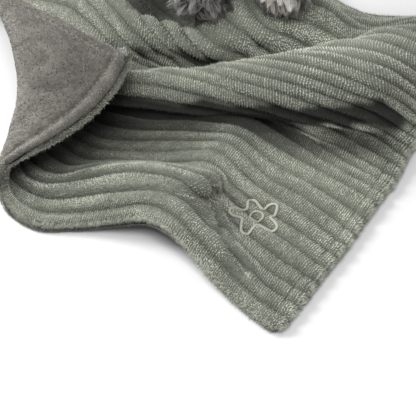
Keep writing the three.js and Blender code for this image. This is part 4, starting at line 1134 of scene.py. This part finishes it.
def ear(word, side):
    """An ear of a furry outside and a ribbed lining. side is -1 for the left ear and 1 for the right."""
    mirror = np.array([side, 1.0, 1.0])
    root = HEAD + EAR_ROOT * mirror
    bend, tip = root + ROOT_TO_BEND * mirror, root + ROOT_TO_TIP * mirror
    rows, columns = 72, 34
    u, w = np.linspace(0, 1, rows), np.linspace(-1, 1, columns)
    share = u[:, None]
    spine = (1 - share) ** 2 * root + 2 * share * (1 - share) * bend + share ** 2 * tip
    along = unit(2 * (1 - share) * (bend - root) + 2 * share * (tip - bend))
    forward = np.array([0.0, -1.0, 0.0])
    outward = unit(np.cross(forward, along) * side)
    width = EAR_WIDTH * (0.3 + 0.7 * np.sin(math.pi * (0.12 + 0.8 * u)) ** 0.8)
    width *= np.sqrt(np.clip(1 - ((u - 0.86) / 0.145).clip(0, 1) ** 2, 0.02, 1))
    full = 0.55 + 0.45 * np.sin(math.pi * np.minimum(u * 1.1 + 0.05, 0.95))[:, None]
    centre = spine[:, None] - forward * (w[:, None] * width[:, None, None] / 2)
    rim = np.sqrt(np.maximum(1 - w ** 6, 0)) * np.sqrt(np.clip((1 - u) / 0.03, 0, 1))[:, None]
    cup = 1.6 * w ** 2 * full
    ribs = 0.35 + 0.65 * np.abs(np.cos(w * math.pi * 2)) ** 0.6
    outer = offset(centre, outward[:, None], 1.5 * full * rim - cup)
    lining = offset(centre, outward[:, None], -1.5 * full * rim * ribs - cup)
    at = 0.42 + 0.2 * side
    outer_uv = flat_map(w / 2 + 0.5, u) * 0.16 + [at, 0.3]
    # On the lining's map the ribs of the plush fall on the lining's own ribs.
    lining_uv = flat_map((9.5 + 2 * w) / RIBS, u * 0.16 + at)[:, ::-1]
    quads = grid_quads(rows, columns)[:, ::int(side)]
    outside = make_mesh(f"{word}_ear_skin", outer.reshape(-1, 3), quads, fur_skin, {"OFBake": outer_uv})
    inside = make_mesh(f"{word}_ear_inner", lining.reshape(-1, 3), quads[:, ::-1], plush_skin,
                       {"OFBake": lining_uv, "strand": np.ones((rows * columns, 2))})

    def scatter(grid, uv, seed, count=EAR_HAIRS):
        """Random places on a layer: the points, how far across, their rows and their places on the map."""
        r = np.random.default_rng(seed)
        x, y = r.uniform(0, columns - 1.001, count), r.uniform(0.02 * rows, rows - 1.001, count)
        i, j = x.astype(int), y.astype(int)
        a, b = (x - i)[:, None], (y - j)[:, None]
        near = lambda g: g[j, i] * (1 - a) + g[j, i + 1] * a
        far = lambda g: g[j + 1, i] * (1 - a) + g[j + 1, i + 1] * a
        pick = lambda g: near(g) * (1 - b) + far(g) * b
        return pick(grid), x / (columns - 1) * 2 - 1, j, pick(uv.reshape(rows, columns, 2))

    p, x, row, patch = scatter(outer, outer_uv, 50 + int(side))
    out = unit(outward[row] + forward * (-0.9 * np.sign(x) * np.abs(x) ** 3)[:, None])
    flow = unit(along[row] + forward * (-x * 0.35)[:, None])
    hair = strands(f"{word}_ear_fur", p, out, flow, lengths=5.2, width=0.4, patch=patch,
                   seed=52 + int(side), lift=0.45)
    p, x, row, patch = scatter(lining, lining_uv, 54 + int(side))
    r = np.random.default_rng(56)
    out, n = -outward[row], len(p)
    directions = unit(out + along[row] * 0.4 + r.normal(0, 0.3, (n, 3)))
    tufts = blades(f"{word}_ear_pile", p - out * 0.2, directions, along[row] + r.normal(0, 0.2, (n, 3)),
                   unit(out + 0.3 * directions), lengths=r.uniform(0.9, 1.5, n),
                   widths=r.uniform(0.34, 0.56, n), patch=patch * SIDE, tones=r.uniform(0.85, 1.1, n),
                   finish=plush_tufts)
    return outside, inside, hair, tufts


def arm(word, root, axis, map_at, tone, seed):
    """A tapered arm with a round paw: its skin and the long fur that lies along it."""
    slope = math.asin((PAW - SHOULDER) / ARM_LENGTH)
    inset = 3.2
    across = unit(np.cross(axis, [0.0, 0.0, 1.0]))
    up = np.cross(across, axis)
    paw_arc = np.linspace(0, math.pi / 2 + slope, 26)
    root_arc = np.linspace(math.pi / 2 + slope, math.pi - 0.1, 10)
    paw, shoulder = PAW - inset, SHOULDER - inset * 0.5
    radii = np.r_[paw * np.sin(paw_arc), shoulder * np.sin(root_arc)]
    heights = np.r_[ARM_LENGTH + paw * np.cos(paw_arc), shoulder * np.cos(root_arc)]
    run = np.r_[0, np.cumsum(np.hypot(np.diff(radii), np.diff(heights)))]
    rows, columns = 60, 48
    at = np.linspace(0, run[-1], rows)
    outline = lambda place: (np.interp(place, run, radii), np.interp(place, run, heights))
    ring_at = lambda angle: across * np.cos(angle)[..., None] + up * np.sin(angle)[..., None]

    def place(along, angle):
        radius, height = outline(along)
        return root + axis * height[..., None] + ring_at(angle) * radius[..., None]

    def on_skin_map(angle, along):
        return angle / TURN * 0.3 + map_at, along / run[-1] * 0.3 + 0.1

    points = place(at[:, None] + np.zeros(columns), np.broadcast_to(circle(columns), (rows, columns)))
    quads = grid_quads(rows, columns, True)[:, ::-1]
    skin = make_mesh(f"{word}_arm_skin", points.reshape(-1, 3), quads, fur_skin,
                     {"OFBake": flat_map(*on_skin_map(circle(columns), at))})
    r = np.random.default_rng(seed)
    n = ARM_HAIRS
    weight = np.cumsum(outline(at)[0][1:] + 0.5)
    pick = np.interp(r.uniform(0, 1, n), np.r_[0, weight] / weight[-1], at)
    turn = r.uniform(0, TURN, n)
    ahead, behind = outline(pick + 0.5), outline(pick - 0.5)
    slope_r, slope_h = (ahead[0] - behind[0])[:, None], (ahead[1] - behind[1])[:, None]
    out = unit(ring_at(turn) * -slope_h + axis * slope_r)
    to_paw = unit(-(ring_at(turn) * slope_r + axis * slope_h))
    over = smoothstep(0.2, 0.9, out @ axis)[:, None]
    flow = within(to_paw * (1 - 0.8 * over) + np.array([0.0, 0.0, -1.0]) * (0.35 + 0.9 * over), out)
    grow = 0.45 + 0.55 * smoothstep(0, 0.5, 1 - pick / run[-1])
    hair = strands(f"{word}_arm_fur", place(pick, turn), out, flow, lengths=10.5 * grow, width=0.42,
                   patch=np.stack(on_skin_map(turn, pick), 1), seed=seed + 2, lift=0.9, clump=0.72,
                   frizz=0.52, cell=3.0, tone=tone, swirl=0.45)
    return skin, hair


def neck_piece():
    """The neck's skin, gathered at its foot, and its short fur."""
    rows, columns = 24, 40
    z = np.linspace(NECK_LOW, NECK_HIGH, rows)[:, None]
    angle = circle(columns)
    foot = np.clip(z / NECK_LOW, 0, 1)
    flare = 1.6 * foot ** 2 + 1.4 * np.clip(z / NECK_HIGH, 0, 1)
    radius = (NECK_RADIUS + flare) * (1 + 0.07 * np.cos(9 * angle) * foot)
    points = NECK + np.stack([radius * np.cos(angle), radius * np.sin(angle), z + np.zeros(columns)], -1)
    skin = make_mesh("neck_skin", points.reshape(-1, 3), grid_quads(rows, columns, True), fur_skin,
                     {"OFBake": flat_map(angle / 20, z[:, 0] / 100 + 0.5)})
    r = np.random.default_rng(70)
    n = NECK_HAIRS
    turn, rise = r.uniform(0, TURN, n), r.uniform(-12, 2, n)
    out = np.stack([np.cos(turn), np.sin(turn), np.zeros(n)], 1)
    roots = NECK + out * 6.8 + rise[:, None] * [0.0, 0.0, 1.0]
    flow = np.broadcast_to([0.0, 0.0, -1.0], (n, 3))
    patch = np.stack([turn / 20, rise / 100 + 0.5], 1)
    hair = strands("neck_fur", roots, out, flow, lengths=4.0, width=0.4, patch=patch, seed=71)
    return skin, hair


def gather_thread():
    """The thread round the foot of the neck."""
    angle = circle(64)
    ring = np.stack([GATHER_RADIUS * np.cos(angle), GATHER_RADIUS * np.sin(angle), angle * 0 + GATHER_UP], 1)
    up = np.broadcast_to([0.0, 0.0, 1.0], ring.shape)
    return tube("neck_thread", NECK + ring, up, width=1.6, height=1.5, finish=hem_thread, closed=True)


ears = {"left": ear("left", -1.0), "right": ear("right", 1.0)}
# The left arm's fur is painted darker as shade and the right arm's lighter as light, through their tone.
arms = {
    "left": arm("left", *SHOULDERS["left"], map_at=0.1, tone=0.56, seed=60),
    "right": arm("right", *SHOULDERS["right"], map_at=0.55, tone=1.4, seed=61),
}
neck, neck_hair = neck_piece()
gather = gather_thread()


# What rides on what

def dress(obj, body, slot, *nodes):
    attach(obj, body)
    if nodes:
        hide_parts(*nodes)


dress(face, "blanket", "ribbed_plush", "blanket_ribbed_face")
dress(backing, "blanket", "backing_velour", "blanket_backing")
for obj in [*pile, face_fuzz]:
    dress(obj, "blanket", "ribbed_plush")
for obj in [back_fuzz, *nap]:
    dress(obj, "blanket", "backing_velour")
dress(hem_over, "blanket", "hem_thread",
      "hem_stitch_front", "hem_stitch_back", "hem_stitch_left", "hem_stitch_right")
dress(hem_under, "blanket", "hem_thread")
dress(blossom, "blanket", "blossom_thread", "blossom_outline")
dress(heart, "blanket", "blossom_thread", "blossom_heart")
dress(gather, "blanket", "hem_thread", "neck_gather_thread")
dress(neck, "neck", "long_pile_fur", "neck_stalk")
dress(neck_hair, "neck", "long_pile_fur")
dress(head_skin, "head", "long_pile_fur", "head_shell", "head_stuffing")
dress(head_hair, "head", "long_pile_fur")
dress(muzzle, "head", "long_pile_fur", "muzzle")
dress(muzzle_hair, "head", "long_pile_fur")
dress(nose, "head", "dark_thread", "nose")
dress(mouth, "head", "dark_thread", "mouth_stitch")
dress(seam, "head", "hem_thread", "head_back_seam")
for word in ("left", "right"):
    dress(eyes[word], "head", "dark_thread", f"{word}_eye")
    outside, inside, hair, tufts = ears[word]
    dress(outside, f"{word}_ear", "long_pile_fur", f"{word}_ear_outer")
    dress(inside, f"{word}_ear", "ribbed_plush", f"{word}_ear_lining")
    dress(hair, f"{word}_ear", "long_pile_fur")
    dress(tufts, f"{word}_ear", "ribbed_plush")
    skin, hair = arms[word]
    dress(skin, f"{word}_arm", "long_pile_fur", f"{word}_arm_shell", f"{word}_arm_stuffing")
    dress(hair, f"{word}_arm", "long_pile_fur")


# Floor, light and camera

def seen_directly(tree):
    """1 for what the camera sees, also in gloss or through glass, and 0 for light."""
    path = tree.nodes.new("ShaderNodeLightPath")
    mirrored = maths(tree, "MAXIMUM", path.outputs["Is Glossy Ray"], path.outputs["Is Transmission Ray"])
    return maths(tree, "MAXIMUM", path.outputs["Is Camera Ray"], mirrored)


@material
def floor_white(tree):
    place = node(tree, "ShaderNodeTexCoord").outputs["Object"]
    grain = spread(tree, noise(tree, place, 900.0, 900.0), 0.375, 0.385)
    # Away from the toy the floor is seen as white as the world behind it.
    far = ranged(tree, vector_maths(tree, "LENGTH", "Value", in0=place), 0.2, 0.7)
    glow = grey(tree, maths(tree, "MULTIPLY", far, seen_directly(tree)))
    return {"Base Color": grey(tree, grain), "Roughness": 1.0, "Specular IOR Level": 0.0,
            "Emission Color": glow, "Emission Strength": 1.0}


scene = bpy.context.scene
floor_mesh = bpy.data.meshes.new("floor")
floor_corners = [(x * FLOOR_HALF, y * FLOOR_HALF, 0) for x, y in ((-1, -1), (1, -1), (1, 1), (-1, 1))]
floor_mesh.from_pydata(floor_corners, [], [(0, 1, 2, 3)])
floor_mesh.materials.append(floor_white)
floor = bpy.data.objects.new("floor", floor_mesh)
floor.location.z = -FLOOR_GAP
scene.collection.objects.link(floor)

scene.view_settings.view_transform = "Standard"
scene.view_settings.look = "None"
scene.render.resolution_x = PICTURE_SIDE
scene.render.resolution_y = PICTURE_SIDE


def aimed(name, data, place, target):
    """Puts a lamp or a camera at a place in metres and points it at a target."""
    obj = bpy.data.objects.new(name, data)
    obj.location = place
    obj.rotation_mode = "QUATERNION"
    obj.rotation_quaternion = (Vector(target) - Vector(place)).to_track_quat("-Z", "Y")
    scene.collection.objects.link(obj)
    return obj


def lamp(name, size, power, place, target):
    data = bpy.data.lights.new(name, "AREA")
    data.shape = "DISK"
    data.size = size
    data.energy = power
    aimed(name, data, place, target)


lamp("key", size=0.7, power=42.0, place=(-1.15, 0.3, 0.95), target=(0.0, -0.05, 0.0))
lamp("front", size=0.8, power=32.0, place=(-0.1, -0.75, 1.4), target=(0.0, 0.0, 0.0))

world = bpy.data.worlds.new("white")
scene.world = world
world.use_nodes = True
background = world.node_tree.nodes["Background"]
world_strength = ranged(world.node_tree, seen_directly(world.node_tree), 0.0, 1.0, WORLD_LIGHT, WORLD_SEEN)
feed(world.node_tree, background.inputs["Strength"], world_strength)
background.inputs["Color"].default_value = (1.0, 1.0, 1.0, 1.0)

camera_data = bpy.data.cameras.new("camera")
camera_data.sensor_width = 36.0
camera_data.angle = CAMERA_ANGLE
camera_data.clip_start = 0.01
scene.camera = aimed("camera", camera_data, CAMERA_AT, CAMERA_TARGET)
